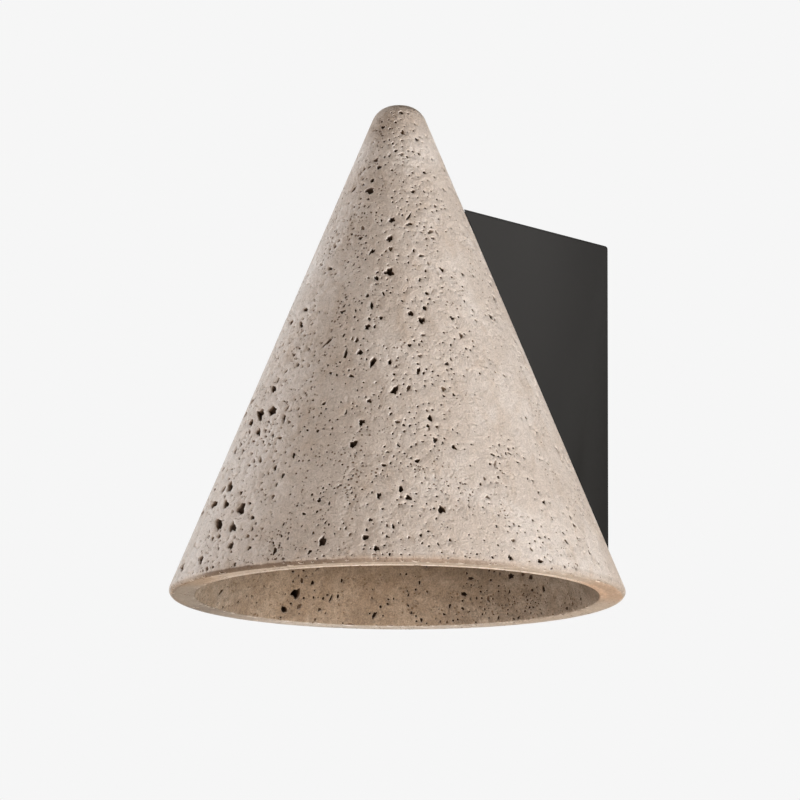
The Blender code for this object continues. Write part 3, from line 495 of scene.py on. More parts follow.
class Amount:
    """A number that changes over a surface. Arithmetic on it adds Math nodes."""

    def __init__(self, bench, socket):
        self.bench = bench
        self.socket = socket

    def maths(self, operation, *others):
        values = [self.socket] + [getattr(other, "socket", other) for other in others]
        return self.bench.amount("ShaderNodeMath", {"operation": operation}, dict(enumerate(values)))

    def __add__(self, other):
        return self.maths("ADD", other)

    __radd__ = __add__

    def __mul__(self, other):
        return self.maths("MULTIPLY", other)

    __rmul__ = __mul__

    def __sub__(self, other):
        return self.maths("SUBTRACT", other)

    def __rsub__(self, other):
        return (self * -1.0) + other

    def larger(self, other):
        return self.maths("MAXIMUM", other)

    def eased(self, low, high):
        """0 up to low, 1 from high, and a smooth rise between."""
        settings = {"interpolation_type": "SMOOTHSTEP", "clamp": True}
        sockets = {"Value": self.socket, "From Min": low, "From Max": high}
        return self.bench.amount("ShaderNodeMapRange", settings, sockets)


class Bench:
    """Lays out the nodes of one tree."""

    def __init__(self, tree):
        self.tree = tree

    def add(self, kind, settings=None, sockets=None):
        node = self.tree.nodes.new(kind)
        for name, value in (settings or {}).items():
            setattr(node, name, value)
        for key, value in (sockets or {}).items():
            value = getattr(value, "socket", value)
            if isinstance(value, bpy.types.NodeSocket):
                self.tree.links.new(value, node.inputs[key])
            else:
                node.inputs[key].default_value = value
        return node

    def amount(self, kind, settings=None, sockets=None, output=0):
        return Amount(self, self.add(kind, settings, sockets).outputs[output])

    def blend(self, amount, first, second, mode="MIX"):
        """A colour between two colours."""
        settings = {"data_type": "RGBA", "blend_type": mode}
        sides = {6: first, 7: second}
        for key, side in sides.items():
            if hasattr(side, "__len__"):
                sides[key] = (*side[:3], 1.0)
        return self.add("ShaderNodeMix", settings, {0: amount, **sides}).outputs[2]


class Finish(Bench):
    """A procedural material, read on Object coordinates."""

    def __init__(self, name, constants):
        self.material = bpy.data.materials.new(name)
        self.material.use_nodes = True
        super().__init__(self.material.node_tree)
        self.shader = self.tree.nodes["Principled BSDF"]
        for key, value in constants.items():
            self.shader.inputs[key].default_value = value
        self.place = self.add("ShaderNodeTexCoord").outputs["Object"]

    def spread(self, turn=(0.0, 0.0, 0.0), scale=(1.0, 1.0, 1.0)):
        """The place, turned and stretched for a pattern that has a direction."""
        return self.add("ShaderNodeMapping", None, {0: self.place, 2: turn, 3: scale}).outputs[0]

    def noise(self, size, detail, roughness, place=None, distortion=0.0):
        sockets = {
            "Vector": place or self.place, "Scale": 1.0 / size, "Detail": detail,
            "Roughness": roughness, "Distortion": distortion,
        }
        return self.amount("ShaderNodeTexNoise", None, sockets)

    def cells(self, size):
        """The distance to the nearest cell's middle, and a colour of its own for each cell."""
        sockets = {"Vector": self.place, "Scale": 1.0 / size}
        node = self.add("ShaderNodeTexVoronoi", None, sockets)
        return Amount(self, node.outputs["Distance"]), node.outputs["Color"]

    def red(self, tint):
        return self.amount("ShaderNodeSeparateColor", None, {0: tint})

    def vector(self, operation, first, second=(0.0, 0.0, 0.0)):
        """Vector Math; the outputs are a vector and a number."""
        return self.add("ShaderNodeVectorMath", {"operation": operation}, {0: first, 1: second}).outputs

    def carried(self, name):
        """A number that each point of the mesh carries."""
        return self.amount("ShaderNodeAttribute", {"attribute_name": name}, output=2)

    def relief(self, height, distance):
        bump = self.add("ShaderNodeBump", None, {"Height": height, "Distance": distance, "Strength": 1.0})
        self.paint("Normal", bump.outputs[0])

    def paint(self, key, value):
        self.tree.links.new(getattr(value, "socket", value), self.shader.inputs[key])


# ---------------------------------------------------------------- finishes


def dimmed(tint, share):
    """A tint times a share; a share over 1 makes it paler."""
    return [share * part for part in tint]


def place_at(bearing, height):
    """The place on the cone at a bearing in degrees and a height above the rim."""
    turn = math.radians(bearing)
    radius = max(0.0, RIM_RADIUS - height * TAPER)
    return RIM_CENTRE + Vector((radius * math.sin(turn), -radius * math.cos(turn), height))


class StoneFinish(Finish):
    """The stone's material, with what is known of each point: where it is and how deep it lies."""

    def __init__(self):
        super().__init__("travertine", {"Roughness": 0.9, "Specular IOR Level": 0.25})
        self.bed = self.spread(turn=BED_TURN, scale=BED_STRETCH)
        from_centre = self.vector("SUBTRACT", self.place, RIM_CENTRE)[0]
        level = self.vector("MULTIPLY", from_centre, (1, 1, 0))[0]
        apart = self.add("ShaderNodeSeparateXYZ", None, {0: from_centre}).outputs
        self.sideways = Amount(self, apart[0])
        self.height = Amount(self, apart[2])
        self.radius = Amount(self, self.vector("LENGTH", level)[1])
        self.within = self.carried("within")
        self.sunk = self.carried("sunk")
        self.mottle = self.noise(MOTTLE_SIZE, 4.0, 0.65)
        self.grain = self.noise(GRAIN_SIZE, 3.0, 0.7)
        self.crowd = self.noise(CROWD_SIZE, 2.0, 0.5, place=self.bed).eased(0.40, 0.66)
        self.open_side = self.sideways.maths("DIVIDE", self.radius).eased(0.86, 0.60)
        self.flat = self.radius.eased(*FLAT_RADII) * self.height.eased(*FLAT_HEIGHTS)

    def honed(self, look):
        """Cloudy beige with tan veins and pale streaks along the bed, and a paler rim."""
        clouds = self.noise(CLOUD_SIZE, 3.0, 0.55, distortion=0.6)
        veins = self.noise(VEIN_SIZE, 4.0, 0.6, place=self.bed, distortion=0.8)
        streaks = self.noise(STREAK_SIZE, 3.0, 0.6, place=self.bed)
        body = self.blend(clouds.eased(0.38, 0.68), look.stone, look.pale)
        body = self.blend(veins.eased(0.5, 0.78) * 0.5, body, look.tan)
        body = self.blend(streaks.eased(0.56, 0.74) * 0.35, body, look.pale)
        return self.blend(self.flat * 0.5, body, look.pale)

    def unhoned(self, look):
        """The hollow's raw brown stone, painted darker than the honed outside partly as shade, and darker
        further up as painted shade.
        """
        patches = self.noise(PATCH_SIZE, 4.0, 0.62, distortion=0.5)
        raw = self.blend(patches.eased(0.36, 0.66), look.raw_dark, look.raw_pale)
        return self.blend(self.height.eased(*SHADED_HEIGHTS) * 0.4, raw, dimmed(look.raw_dark, 0.3))

    def zones(self):
        """Each zone that is stained or painted with shade or highlight: where it is 1, its tints and the
        height they are at.
        """
        ragged = self.mottle * RAGGED - RAGGED / 2
        ragged_height = self.height + ragged
        # The rounded outer edge of the rim, where painted shade goes.
        edge = ragged_height.eased(*EDGE_HEIGHTS) * (self.radius + ragged).eased(*EDGE_RADII)
        shoulder = ragged_height.eased(*SHOULDER_HEIGHTS) * self.radius.eased(*SHOULDER_RADII)
        # Where the painted highlight along the flat's inner edge lies.
        arris_highlight = self.radius.eased(*ARRIS_RADII) * self.flat
        yield self.flat, FLAT_STAINS, 0.0
        yield edge, EDGE_SHADE, 0.0
        yield shoulder, SHOULDER_TINTS, 0.0
        yield arris_highlight, ARRIS_HIGHLIGHTS, 0.0
        yield self.within, INNER_STAINS, 0.0
        yield 1.0 - self.within, TIP_SHADE, TIP_HEIGHT

    # Multiplies in each zone's stains, painted shade and painted highlights.
    def stained(self, body):
        for zone, stains, height in self.zones():
            for bearing, reach, tint in stains:
                away = Amount(self, self.vector("DISTANCE", self.place, place_at(bearing, height))[1])
                body = self.blend(zone * away.eased(reach, 0.4 * reach), body, tint, "MULTIPLY")
        return body

    def toned(self, body):
        """Lighter and darker by the grain, more so in the hollow."""
        mottle = self.mottle * (self.within * 0.5 + 0.55)
        tone = mottle + self.grain * (self.within * 0.7 + 1.10) - self.within * 0.6 + 0.27
        grey = self.add("ShaderNodeCombineColor", None, {0: tone, 1: tone, 2: tone}).outputs[0]
        return self.blend(1.0, body, grey, "MULTIPLY")

    def pores(self):
        """1 in the finest pores, which are too small for the mesh."""
        near, tint = self.cells(PORE_SIZE)
        room = self.crowd * 0.50 + 0.16 + self.open_side * 0.06
        size = (self.red(tint) - 0.45 + self.open_side * 0.08).larger(0.0) * room
        return (near - size).eased(0.03, -0.05) * size.eased(0.0, 0.05)

    def dimples(self):
        """Shallow dents of the honed face, deepest in their middle."""
        near, tint = self.cells(DIMPLE_SIZE)
        return (0.46 - near).larger(0.0) * self.red(tint).eased(0.35, 0.70) * (self.crowd * 0.6 + 0.4)

    def pitted(self, body, look):
        """Pale lips round the pits, partly worn stone and partly painted highlight; walls stained and
        painted with shade, and floors painted near black as shade.
        """
        dirt = self.noise(DIRT_SIZE, 2.0, 0.5).eased(0.3, 0.7) * 0.25 + 0.75
        lip = self.sunk.eased(-0.01, -0.09) * (self.open_side * 0.25 + 0.55) * (1.0 - self.within * 0.75)
        body = self.blend(lip, body, dimmed(look.pale, 1.46))
        body = self.blend(self.sunk.eased(0.02, 0.16) * dirt, body, look.wall)
        return self.blend(self.sunk.eased(0.20, 0.60) * 0.95, body, look.pit)


def travertine(look):
    """Honed, unfilled stone: cloudy beige, tan veins along the bed, fine pores, dark pits."""
    stone = StoneFinish()
    body = stone.blend(stone.within, stone.honed(look), stone.unhoned(look))
    body = stone.toned(stone.stained(body))
    pores = stone.pores()
    # The finest pores painted dark, as stain and the shade that falls in them.
    body = stone.blend(pores * 0.9, body, look.wall)
    stone.paint("Base Color", stone.pitted(body, look))
    raised = stone.mottle * 1.5 + stone.grain * 1.2
    stone.relief(raised - pores * 1.8 - stone.dimples() * 2.4, RELIEF)
    return stone.material


def powder_coat(look):
    """Black satin coat with a fine orange peel, and a painted sheen and shade: near black low down by the
    wall, paler towards its top and away from the wall.
    """
    coat = Finish("black_coat", {"Specular IOR Level": 0.08})
    drift = coat.noise(45 * MM, 3.0, 0.6)
    peel = coat.noise(0.8 * MM, 2.0, 0.5)
    dust = coat.noise(2.4 * MM, 3.0, 0.7)
    low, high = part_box("steel_bracket")
    apart = coat.add("ShaderNodeSeparateXYZ", None, {0: coat.place}).outputs
    # Painted sheen and shade: the coat near black low down by the wall, paler up and away from it.
    upwards = Amount(coat, apart[2]).eased(low.z, high.z) * 0.66 + 0.34
    sheen_off_wall = Amount(coat, apart[1]).eased(high.y, high.y - SHEEN_FROM_WALL) * 0.42 + 0.58
    painted_sheen_coat = coat.blend(upwards * sheen_off_wall, dimmed(look.coat, 0.02), dimmed(look.coat, 1.62))
    coat.paint("Base Color", coat.blend(drift * 0.4 + dust * 0.2, painted_sheen_coat, dimmed(look.coat, 1.4)))
    coat.paint("Roughness", drift * 0.10 + dust * 0.06 + 0.56)
    coat.relief(peel, 0.02 * MM)
    return coat.material


def zinc_plate(look):
    """Zinc plating: bright, with a faint spangle and rolling lines."""
    zinc = Finish("zinc_plating", {"Metallic": 1.0})
    _, tint = zinc.cells(4.0 * MM)
    spangle = zinc.red(tint)
    lines = zinc.noise(0.5 * MM, 2.0, 0.6, place=zinc.spread(scale=(1.0, 1.0, 0.06)))
    zinc.paint("Base Color", zinc.blend(spangle * 0.7 + lines * 0.3, dimmed(look.zinc, 0.8), look.zinc))
    zinc.paint("Roughness", spangle * 0.10 + lines * 0.12 + 0.26)
    zinc.relief(lines, 0.01 * MM)
    return zinc.material


def glazed_ceramic(look):
    """White glazed ceramic with faint specks."""
    glaze = Finish("white_ceramic", {"Coat Weight": 0.4, "Coat Roughness": 0.08})
    cloud = glaze.noise(6 * MM, 3.0, 0.6)
    near, _ = glaze.cells(1.3 * MM)
    specks = near.eased(0.14, 0.06) * 0.25
    body = glaze.blend(cloud.eased(0.3, 0.7), dimmed(look.ceramic, 0.93), look.ceramic)
    glaze.paint("Base Color", glaze.blend(specks, body, (0.42, 0.36, 0.28)))
    glaze.paint("Roughness", cloud * 0.15 + 0.22)
    glaze.relief(cloud, 0.03 * MM)
    return glaze.material


def frosted_glass(look):
    """Etched glass capsule, unlit."""
    glass = Finish("frosted_glass", {"Transmission Weight": 0.35, "IOR": 1.46})
    etch = glass.noise(0.35 * MM, 3.0, 0.7)
    cloud = glass.noise(5 * MM, 2.0, 0.5)
    glass.paint("Base Color", glass.blend(cloud * 0.6, look.glass, dimmed(look.glass, 0.9)))
    glass.paint("Roughness", etch * 0.2 + cloud * 0.1 + 0.32)
    glass.relief(etch, 0.01 * MM)
    return glass.material


# ---------------------------------------------------------------- making pieces


def add_object(name, mesh, material=None):
    thing = bpy.data.objects.new(name, mesh)
    bpy.context.scene.collection.objects.link(thing)
    if material:
        mesh.materials.clear()
        mesh.materials.append(material)
    return thing


def from_bmesh(name, bm, material=None):
    mesh = bpy.data.meshes.new(name)
    bm.to_mesh(mesh)
    bm.free()
    return add_object(name, mesh, material)


def smoothed(thing, angle=SMOOTH_BELOW):
    thing.data.shade_smooth()
    thing.data.set_sharp_from_angle(angle=angle)
    return thing


def settled(thing, name, angle=SMOOTH_BELOW):
    """The piece as its modifiers leave it, as one plain mesh in a new object."""
    graph = bpy.context.evaluated_depsgraph_get()
    mesh = bpy.data.meshes.new_from_object(thing.evaluated_get(graph))
    bpy.data.objects.remove(thing)
    mesh.name = name
    return smoothed(add_object(name, mesh), angle)


def fit(piece, node):
    """Ride the piece on the light's one body, in place of a node of the frame."""
    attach(piece, "root")
    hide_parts(node)


def cut(thing, cutter):
    modifier = thing.modifiers.new(cutter.name, "BOOLEAN")
    modifier.operation = "DIFFERENCE"
    modifier.solver = "EXACT"
    modifier.object = cutter
    cutter.hide_render = True
    cutter.display_type = "WIRE"
    return cutter


def on_axis(height):
    return RIM_CENTRE + Vector((0.0, 0.0, height))


def outer_radius(height):
    return RIM_RADIUS - height * TAPER


def inner_radius(height):
    return MOUTH_RADIUS - height * TAPER


def arc(centre, radius, first, last, steps):
    """Points (radius, height) on an arc; angles in radians from the outward direction."""
    turns = [first + (last - first) * step / steps for step in range(steps + 1)]
    return [(centre[0] + radius * math.cos(turn), centre[1] + radius * math.sin(turn)) for turn in turns]


def corner_arc(sharp_radius, height, radius, first, last, inwards, upwards):
    """An arc that rounds the corner between the cone's slope and a level face."""
    along_level = radius * math.tan(abs(last - first) / 2)
    centre = (sharp_radius + inwards * along_level, height + upwards * radius)
    return arc(centre, radius, first, last, ARC_STEPS)


def add_ring(bm, radius, height):
    turns = [math.tau * side / ROUND_SIDES for side in range(ROUND_SIDES)]
    return [bm.verts.new((radius * math.sin(turn), -radius * math.cos(turn), height)) for turn in turns]


def join_rings(bm, rings):
    """Faces from each ring to the next."""
    for upper, lower in zip(rings, rings[1:]):
        for side in range(ROUND_SIDES):
            after = (side + 1) % ROUND_SIDES
            bm.faces.new((upper[side], lower[side], lower[after], upper[after]))


def turned(profile):
    """Turn a (radius, height) profile about +Z, closed by a pole at each end."""
    bm = bmesh.new()
    rings = [add_ring(bm, radius, height) for radius, height in profile]
    join_rings(bm, rings)
    for ring, last in ((rings[0], False), (rings[-1], True)):
        pole = bm.verts.new((0.0, 0.0, ring[0].co.z))
        for side in range(ROUND_SIDES):
            after = (side + 1) % ROUND_SIDES
            corners = (pole, ring[after], ring[side]) if last else (pole, ring[side], ring[after])
            bm.faces.new(corners)
    return bm


def turned_on_axis(name, profile, node, material):
    """A turned piece on the cone's axis, its foot level with the foot of a node of the frame."""
    bm = turned(profile)
    bm.transform(Matrix.Translation(Vector((0.0, RIM_CENTRE.y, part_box(node)[0].z))))
    return from_bmesh(name, bm, material)


def cylinder(name, start, end, radius):
    bm = bmesh.new()
    along = end - start
    place = Matrix.Translation((start + end) / 2) @ along.to_track_quat("Z", "Y").to_matrix().to_4x4()
    bmesh.ops.create_cone(
        bm, cap_ends=True, segments=ROUND_SIDES, radius1=radius, radius2=radius, depth=along.length,
        matrix=place,
    )
    return from_bmesh(name, bm)


def merged_copy(node, name, material):
    """A welded, smooth-shaded copy of a node of the frame."""
    bm = bmesh.new()
    bm.from_mesh(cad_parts[node].data)
    bmesh.ops.remove_doubles(bm, verts=bm.verts, dist=0.001 * MM)
    bmesh.ops.dissolve_limit(bm, angle_limit=math.radians(0.2), verts=bm.verts, edges=bm.edges)
    return smoothed(from_bmesh(name, bm, material))


# ---------------------------------------------------------------- the stone


class TurnedSurface:
    """The shade's plain surface, unrolled.

    A point is (turn, rise): the angle about the axis, and minus the distance along the outline
    counted in radii, from the tip down, round the rim and up the hollow. Small figures keep
    their shape when they are drawn on it, at 1 / radius of their size.
    """

    def __init__(self):
        up = math.pi / 2
        tip = corner_arc(outer_radius(TIP_HEIGHT), TIP_HEIGHT, TIP_ROUNDING, up, SIDE_ANGLE, -1, -1)
        rim = corner_arc(RIM_RADIUS, 0.0, RIM_ROUNDING, SIDE_ANGLE, -up, -1, 1)
        mouth = corner_arc(MOUTH_RADIUS, 0.0, MOUTH_ROUNDING, -up, SIDE_ANGLE - math.pi, 1, 1)
        sharp = inner_radius(HOLLOW_HEIGHT)
        top = corner_arc(sharp, HOLLOW_HEIGHT, HOLLOW_ROUNDING, SIDE_ANGLE, up, -1, -1)
        poles = [(POLE_RADIUS, TIP_HEIGHT)], [(POLE_RADIUS, HOLLOW_HEIGHT)]
        corners = np.array(poles[0] + tip + rim + mouth + top + poles[1])
        marks = np.concatenate(((0.0,), np.cumsum(np.hypot(*np.diff(corners, axis=0).T))))
        self.along = np.linspace(0.0, marks[-1], round(marks[-1] / OUTLINE_STEP))
        self.radius = np.interp(self.along, marks, corners[:, 0])
        self.height = np.interp(self.along, marks, corners[:, 1])
        self.normal_out = -np.gradient(self.height, self.along)
        self.normal_up = np.gradient(self.radius, self.along)
        steps = np.diff(self.along) * (0.5 / self.radius[1:] + 0.5 / self.radius[:-1])
        self.rise = -np.concatenate(((0.0,), np.cumsum(steps)))
        starts = [marks[0]]
        first = 1
        for piece in (tip, rim, mouth, top):
            starts += [marks[first], marks[first + len(piece) - 1]]
            first += len(piece)
        starts.append(marks[-1])
        self.rim_along, self.mouth_along = starts[3], starts[5]
        self.parts = list(zip(starts, starts[1:], OUTLINE_STEPS))
        self.hoops = ((starts[3], starts[4], RIM_RADIUS), (starts[5], starts[6], MOUTH_RADIUS))
        self.within_from = -self.rise_at(self.mouth_along - RAW_BEFORE)
        self.within_rise = RAW_EASE / MOUTH_RADIUS

    def read(self, rise, values):
        return np.interp(-np.asarray(rise), -self.rise, values)

    def rise_at(self, along):
        return float(np.interp(along, self.along, self.rise))

    def on_outside(self, height):
        """The rise of a height on the outer side."""
        side = self.along < self.rim_along
        return float(np.interp(-height, -self.height[side], self.rise[side]))

    def on_inside(self, height):
        side = self.along > self.mouth_along
        return float(np.interp(height, self.height[side], self.rise[side]))

    def on_rim(self, radius):
        side = self.height < 0.5 * MM
        side &= self.along > self.rim_along - RIM_ROUNDING
        side &= self.along < self.mouth_along + MOUTH_ROUNDING
        return float(np.interp(-radius, -self.radius[side], self.rise[side]))

    def points(self, turn, rise):
        """Places, outward, rightward and upward directions of unrolled points."""
        turn = np.asarray(turn) + math.radians(SEAM_BEARING)
        radius, height = self.read(rise, self.radius), self.read(rise, self.height)
        out, up = self.read(rise, self.normal_out), self.read(rise, self.normal_up)
        away = np.stack([np.sin(turn), -np.cos(turn), np.zeros_like(turn)], 1)
        right = np.stack([np.cos(turn), np.sin(turn), np.zeros_like(turn)], 1)
        lift = np.array((0.0, 0.0, 1.0))
        place = np.array(RIM_CENTRE) + away * radius[:, None] + lift * height[:, None]
        normal = away * out[:, None] + lift * up[:, None]
        normal /= np.linalg.norm(normal, axis=1)[:, None]
        return place, normal, right, np.cross(normal, right)

    def hoop_at(self, mark):
        """The radius of the rounded edge that a place along the outline is on, if it is on one."""
        for start, end, radius in self.hoops:
            if start <= mark + TINY and mark <= end + TINY:
                return radius
        return None

    def rows(self):
        """Rows of the plain surface's points, each a list of turns and its rise.

        The rows of the rim's two rounded edges have their points in line, so the edges stay even.
        """
        marks = []
        for start, end, largest in self.parts:
            steps = max(1, math.ceil((end - start) / largest))
            marks += [start + (end - start) * step / steps for step in range(steps)]
        marks.append(self.along[-1])
        for number, mark in enumerate(marks):
            radius = float(np.interp(mark, self.along, self.radius))
            hoop = self.hoop_at(mark)
            spacing = HOOP_STEP if hoop else min(PLAIN_STEP, STEP_TO_RADIUS * radius + POLE_STEP)
            around = max(FEWEST_AROUND, round(math.tau * (hoop or radius) / spacing))
            shift = 0.0 if hoop else 0.5 * (number % 2)
            turns = [math.tau * (step + shift) / around for step in range(around) if step + shift > 0.0]
            yield [0.0] + turns + [math.tau], self.rise_at(mark)


class Pit:
    """One pit: where it is on the unrolled surface, its sizes in metres and its depth."""

    def __init__(self, surface, bearing, rise, width, length_along, lean, depth_share=1.0):
        self.turn = math.radians(bearing - SEAM_BEARING) % math.tau
        self.rise = rise
        self.radius = float(surface.read(rise, surface.radius))
        self.width = width * MM
        self.length = length_along * MM
        self.lean = math.radians(lean)
        self.depth_share = depth_share
        self.depth = (PIT_DEPTH_TO_WIDTH * min(width, length_along) + LEAST_DEPTH) * MM * depth_share
        self.place = Vector(surface.points([self.turn], [rise])[0][0])

    def reach(self, direction=None):
        """Distance from the middle to the outline, in a direction or at most."""
        half_width, half_length = self.width / 2, self.length / 2
        if direction is None:
            return max(half_width, half_length)
        turn = direction - (math.pi / 2 - self.lean)
        along, across = math.cos(turn), math.sin(turn)
        return half_width * half_length / math.hypot(half_width * along, half_length * across)

    def off_seam(self):
        beside = min(self.turn, math.tau - self.turn) * self.radius
        return beside > 1.25 * self.reach() + 0.3 * MM

    def clears(self, other):
        step = (self.place - other.place).length
        if step > 1.3 * (self.reach() + other.reach()) + PIT_CLEARANCE * MM:
            return True
        turn_gap = (other.turn - self.turn + math.pi) % math.tau - math.pi
        direction = math.atan2(other.rise - self.rise, turn_gap)
        return step > 1.12 * (self.reach(direction) + other.reach(direction)) + PIT_CLEARANCE * MM


class PitMap:
    """All the pits, none of them touching another."""

    CELL = 6.0 * MM

    def __init__(self, surface):
        self.surface = surface
        self.pits = []
        self.grid = {}

    def cell(self, place):
        return tuple(math.floor(part / self.CELL) for part in place)

    def near(self, place):
        middle = self.cell(place)
        for x in (-1, 0, 1):
            for y in (-1, 0, 1):
                for z in (-1, 0, 1):
                    yield from self.grid.get((middle[0] + x, middle[1] + y, middle[2] + z), ())

    def add(self, pit):
        if not pit.off_seam() or not all(pit.clears(other) for other in self.near(pit.place)):
            return False
        self.pits.append(pit)
        self.grid.setdefault(self.cell(pit.place), []).append(pit)
        return True

    def add_listed(self, bearing, rise, width, length_along, lean, depth_share=1.0):
        """A listed pit, drawn in a little where it would touch its neighbour."""
        for size in (1.0, 0.85, 0.7, 0.55):
            pit = Pit(self.surface, bearing, rise, width * size, length_along * size, lean, depth_share)
            if self.add(pit):
                return


def hidden_pits():
    """Pits for the side of the cone that faces the wall: bearing, height, width, length, lean."""
    chance = random.Random(PIT_SEED)
    pits = []
    while len(pits) < HIDDEN_PITS:
        height = HIDDEN_HEIGHTS[1] * (1.0 - math.sqrt(chance.random()))
        bearing = chance.choice(HIDDEN_BANDS) + chance.gauss(0.0, BAND_SPREAD)
        width = chance.uniform(1.5, 2.8)
        length_along = width * chance.uniform(0.9, 2.2)
        lean = chance.uniform(-30, 30)
        radius = outer_radius(height * MM) / MM
        clear = all(
            math.hypot(math.radians(bearing - other[0]) * radius, height - other[1]) > PIT_SPACING
            for other in pits
        )
        beside_seat = abs(bearing - 180.0) > SEAT_SPACING or abs(height - TUBE_HEIGHT / MM) > SEAT_SPACING
        if clear and beside_seat and height > HIDDEN_HEIGHTS[0]:
            pits.append((bearing, height, width, length_along, lean))
    return pits


def small_size(chance):
    """Width and length in mm of a small pit: most are well under a millimetre."""
    width = SMALL_WIDTH + SMALL_WIDTH_SPREAD * chance.random() ** 2
    return width, width * (0.95 + 1.1 * chance.random() ** 2)


def strew_kin(pit_map, parents, chance):
    """Small pits that gather along the lean of larger ones."""
    surface = pit_map.surface
    for parent in parents:
        for _ in range(KIN_EACH + round(2 * parent.reach() / MM)):
            line = parent.lean + chance.gauss(0.0, 0.5)
            step = chance.gauss(0.0, KIN_ALONG)
            aside = chance.gauss(0.0, KIN_ASIDE)
            right = math.sin(line) * step + math.cos(line) * aside
            up = math.cos(line) * step - math.sin(line) * aside
            rise = parent.rise + up / parent.radius
            if not surface.rise[-1] + 0.3 < rise < -0.3:
                continue
            bearing = math.degrees(parent.turn + right / parent.radius) + SEAM_BEARING
            width, length_along = small_size(chance)
            lean = math.degrees(parent.lean) + chance.gauss(0.0, 18.0)
            pit_map.add(Pit(surface, bearing, rise, width, length_along, lean))


def stray_crowd(bearing, height, inside):
    """The chance that a stray pit stays where it falls: more along the bed, less where it is quiet."""
    beds = math.sin(math.radians(bearing * 7 + height / MM * 1.3)) * math.sin(bearing * 0.11)
    crowd = 0.5 + 0.5 * beds
    if not inside and any(first < bearing < last for first, last in QUIET_BEARINGS):
        crowd *= QUIET_SHARE
    return crowd + 0.15


def strew_strays(pit_map, chance, inside, wanted):
    """Small pits over the rest of the surface, thicker along the bed of the stone."""
    surface = pit_map.surface
    made = 0
    while made < wanted:
        bearing = chance.uniform(0.0, 360.0)
        if inside:
            height = STRAYS_BELOW["inside"] * chance.random() ** 2.4
        else:
            height = STRAYS_BELOW["outside"] * (1.0 - math.sqrt(chance.random()))
        if chance.random() > stray_crowd(bearing, height, inside):
            continue
        rise = surface.on_inside(height) if inside else surface.on_outside(height)
        width, length_along = small_size(chance)
        grown = GROWN_SIZE if chance.random() < GROWN_CHANCE else 1.0
        lean = chance.gauss(8.0, 24.0)
        made += pit_map.add(Pit(surface, bearing, rise, width * grown, length_along * grown, lean))


def chip_rim(pit_map, chance):
    """Shallow chips knocked out of the rim's outer and inner edges."""
    surface = pit_map.surface
    edges = (surface.rim_along, surface.rim_along + 1.5 * RIM_ROUNDING, surface.mouth_along)
    for _ in range(RIM_CHIPS):
        rise = surface.rise_at(chance.choice(edges) + chance.gauss(0.0, 0.5) * MM)
        width = chance.uniform(0.7, 1.5)
        bearing = chance.uniform(0.0, 360.0)
        around = width * chance.uniform(1.0, 2.6)
        lean = 90.0 + chance.gauss(0.0, 12.0)
        pit_map.add(Pit(surface, bearing, rise, width, around, lean, CHIP_DEPTH))


def lay_out_pits(surface, look):
    pit_map = PitMap(surface)
    chance = random.Random(look.seed)
    for bearing, height, *form in OUTER_PITS + tuple(hidden_pits()):
        pit_map.add_listed(bearing, surface.on_outside(height * MM), *form)
    for bearing, height, *form in INNER_PITS + SMALL_INNER_PITS:
        pit_map.add_listed(bearing, surface.on_inside(height * MM), *form)
    for bearing, radius, around, across in RIM_PITS:
        pit_map.add_listed(bearing, surface.on_rim(radius * MM), around, across, 0.0, RIM_PIT_DEPTH)
    for bearing, height, *form in SMALL_PITS:
        pit_map.add_listed(bearing, surface.on_outside(height * MM), *form)
    for bearing, height, *form in SCARS:
        pit_map.add_listed(bearing, surface.on_outside(height * MM), *form, SCAR_DEPTH)
    strew_kin(pit_map, list(pit_map.pits), chance)
    chip_rim(pit_map, chance)
    strew_strays(pit_map, chance, False, look.strays)
    strew_strays(pit_map, chance, True, look.inner_strays)
    return pit_map.pits


def pit_outline(pit, corners, chance):
    """A lobed, bent and tapering closed outline about (0, 0), in metres."""
    ragged = 1.0 if corners > 8 else 0.35
    waves = [
        (times, size * ragged * chance.uniform(0.3, 1.2), chance.uniform(0.0, math.tau))
        for times, size in LOBES
    ]
    slender = pit.length / pit.width
    bend = chance.uniform(-MOST_BEND, MOST_BEND) * min(1.0, max(0.0, slender - 1.2))
    taper = chance.uniform(-MOST_TAPER, MOST_TAPER)
    across = Vector((math.cos(pit.lean), -math.sin(pit.lean)))
    along = Vector((math.sin(pit.lean), math.cos(pit.lean)))
    outline = []
    for corner in range(corners):
        turn = math.tau * (corner + chance.uniform(-0.25, 0.25)) / corners
        reach = 1.0 + sum(size * math.cos(times * turn + start) for times, size, start in waves)
        reach = min(MOST_REACH, reach * chance.uniform(0.9, 1.08))
        aside, ahead = math.cos(turn) * reach, math.sin(turn) * reach
        aside = aside * (1.0 - taper * ahead) + bend * (ahead * ahead - 0.5)
        outline.append(across * (aside * pit.width / 2) + along * (ahead * pit.length / 2))
    return outline


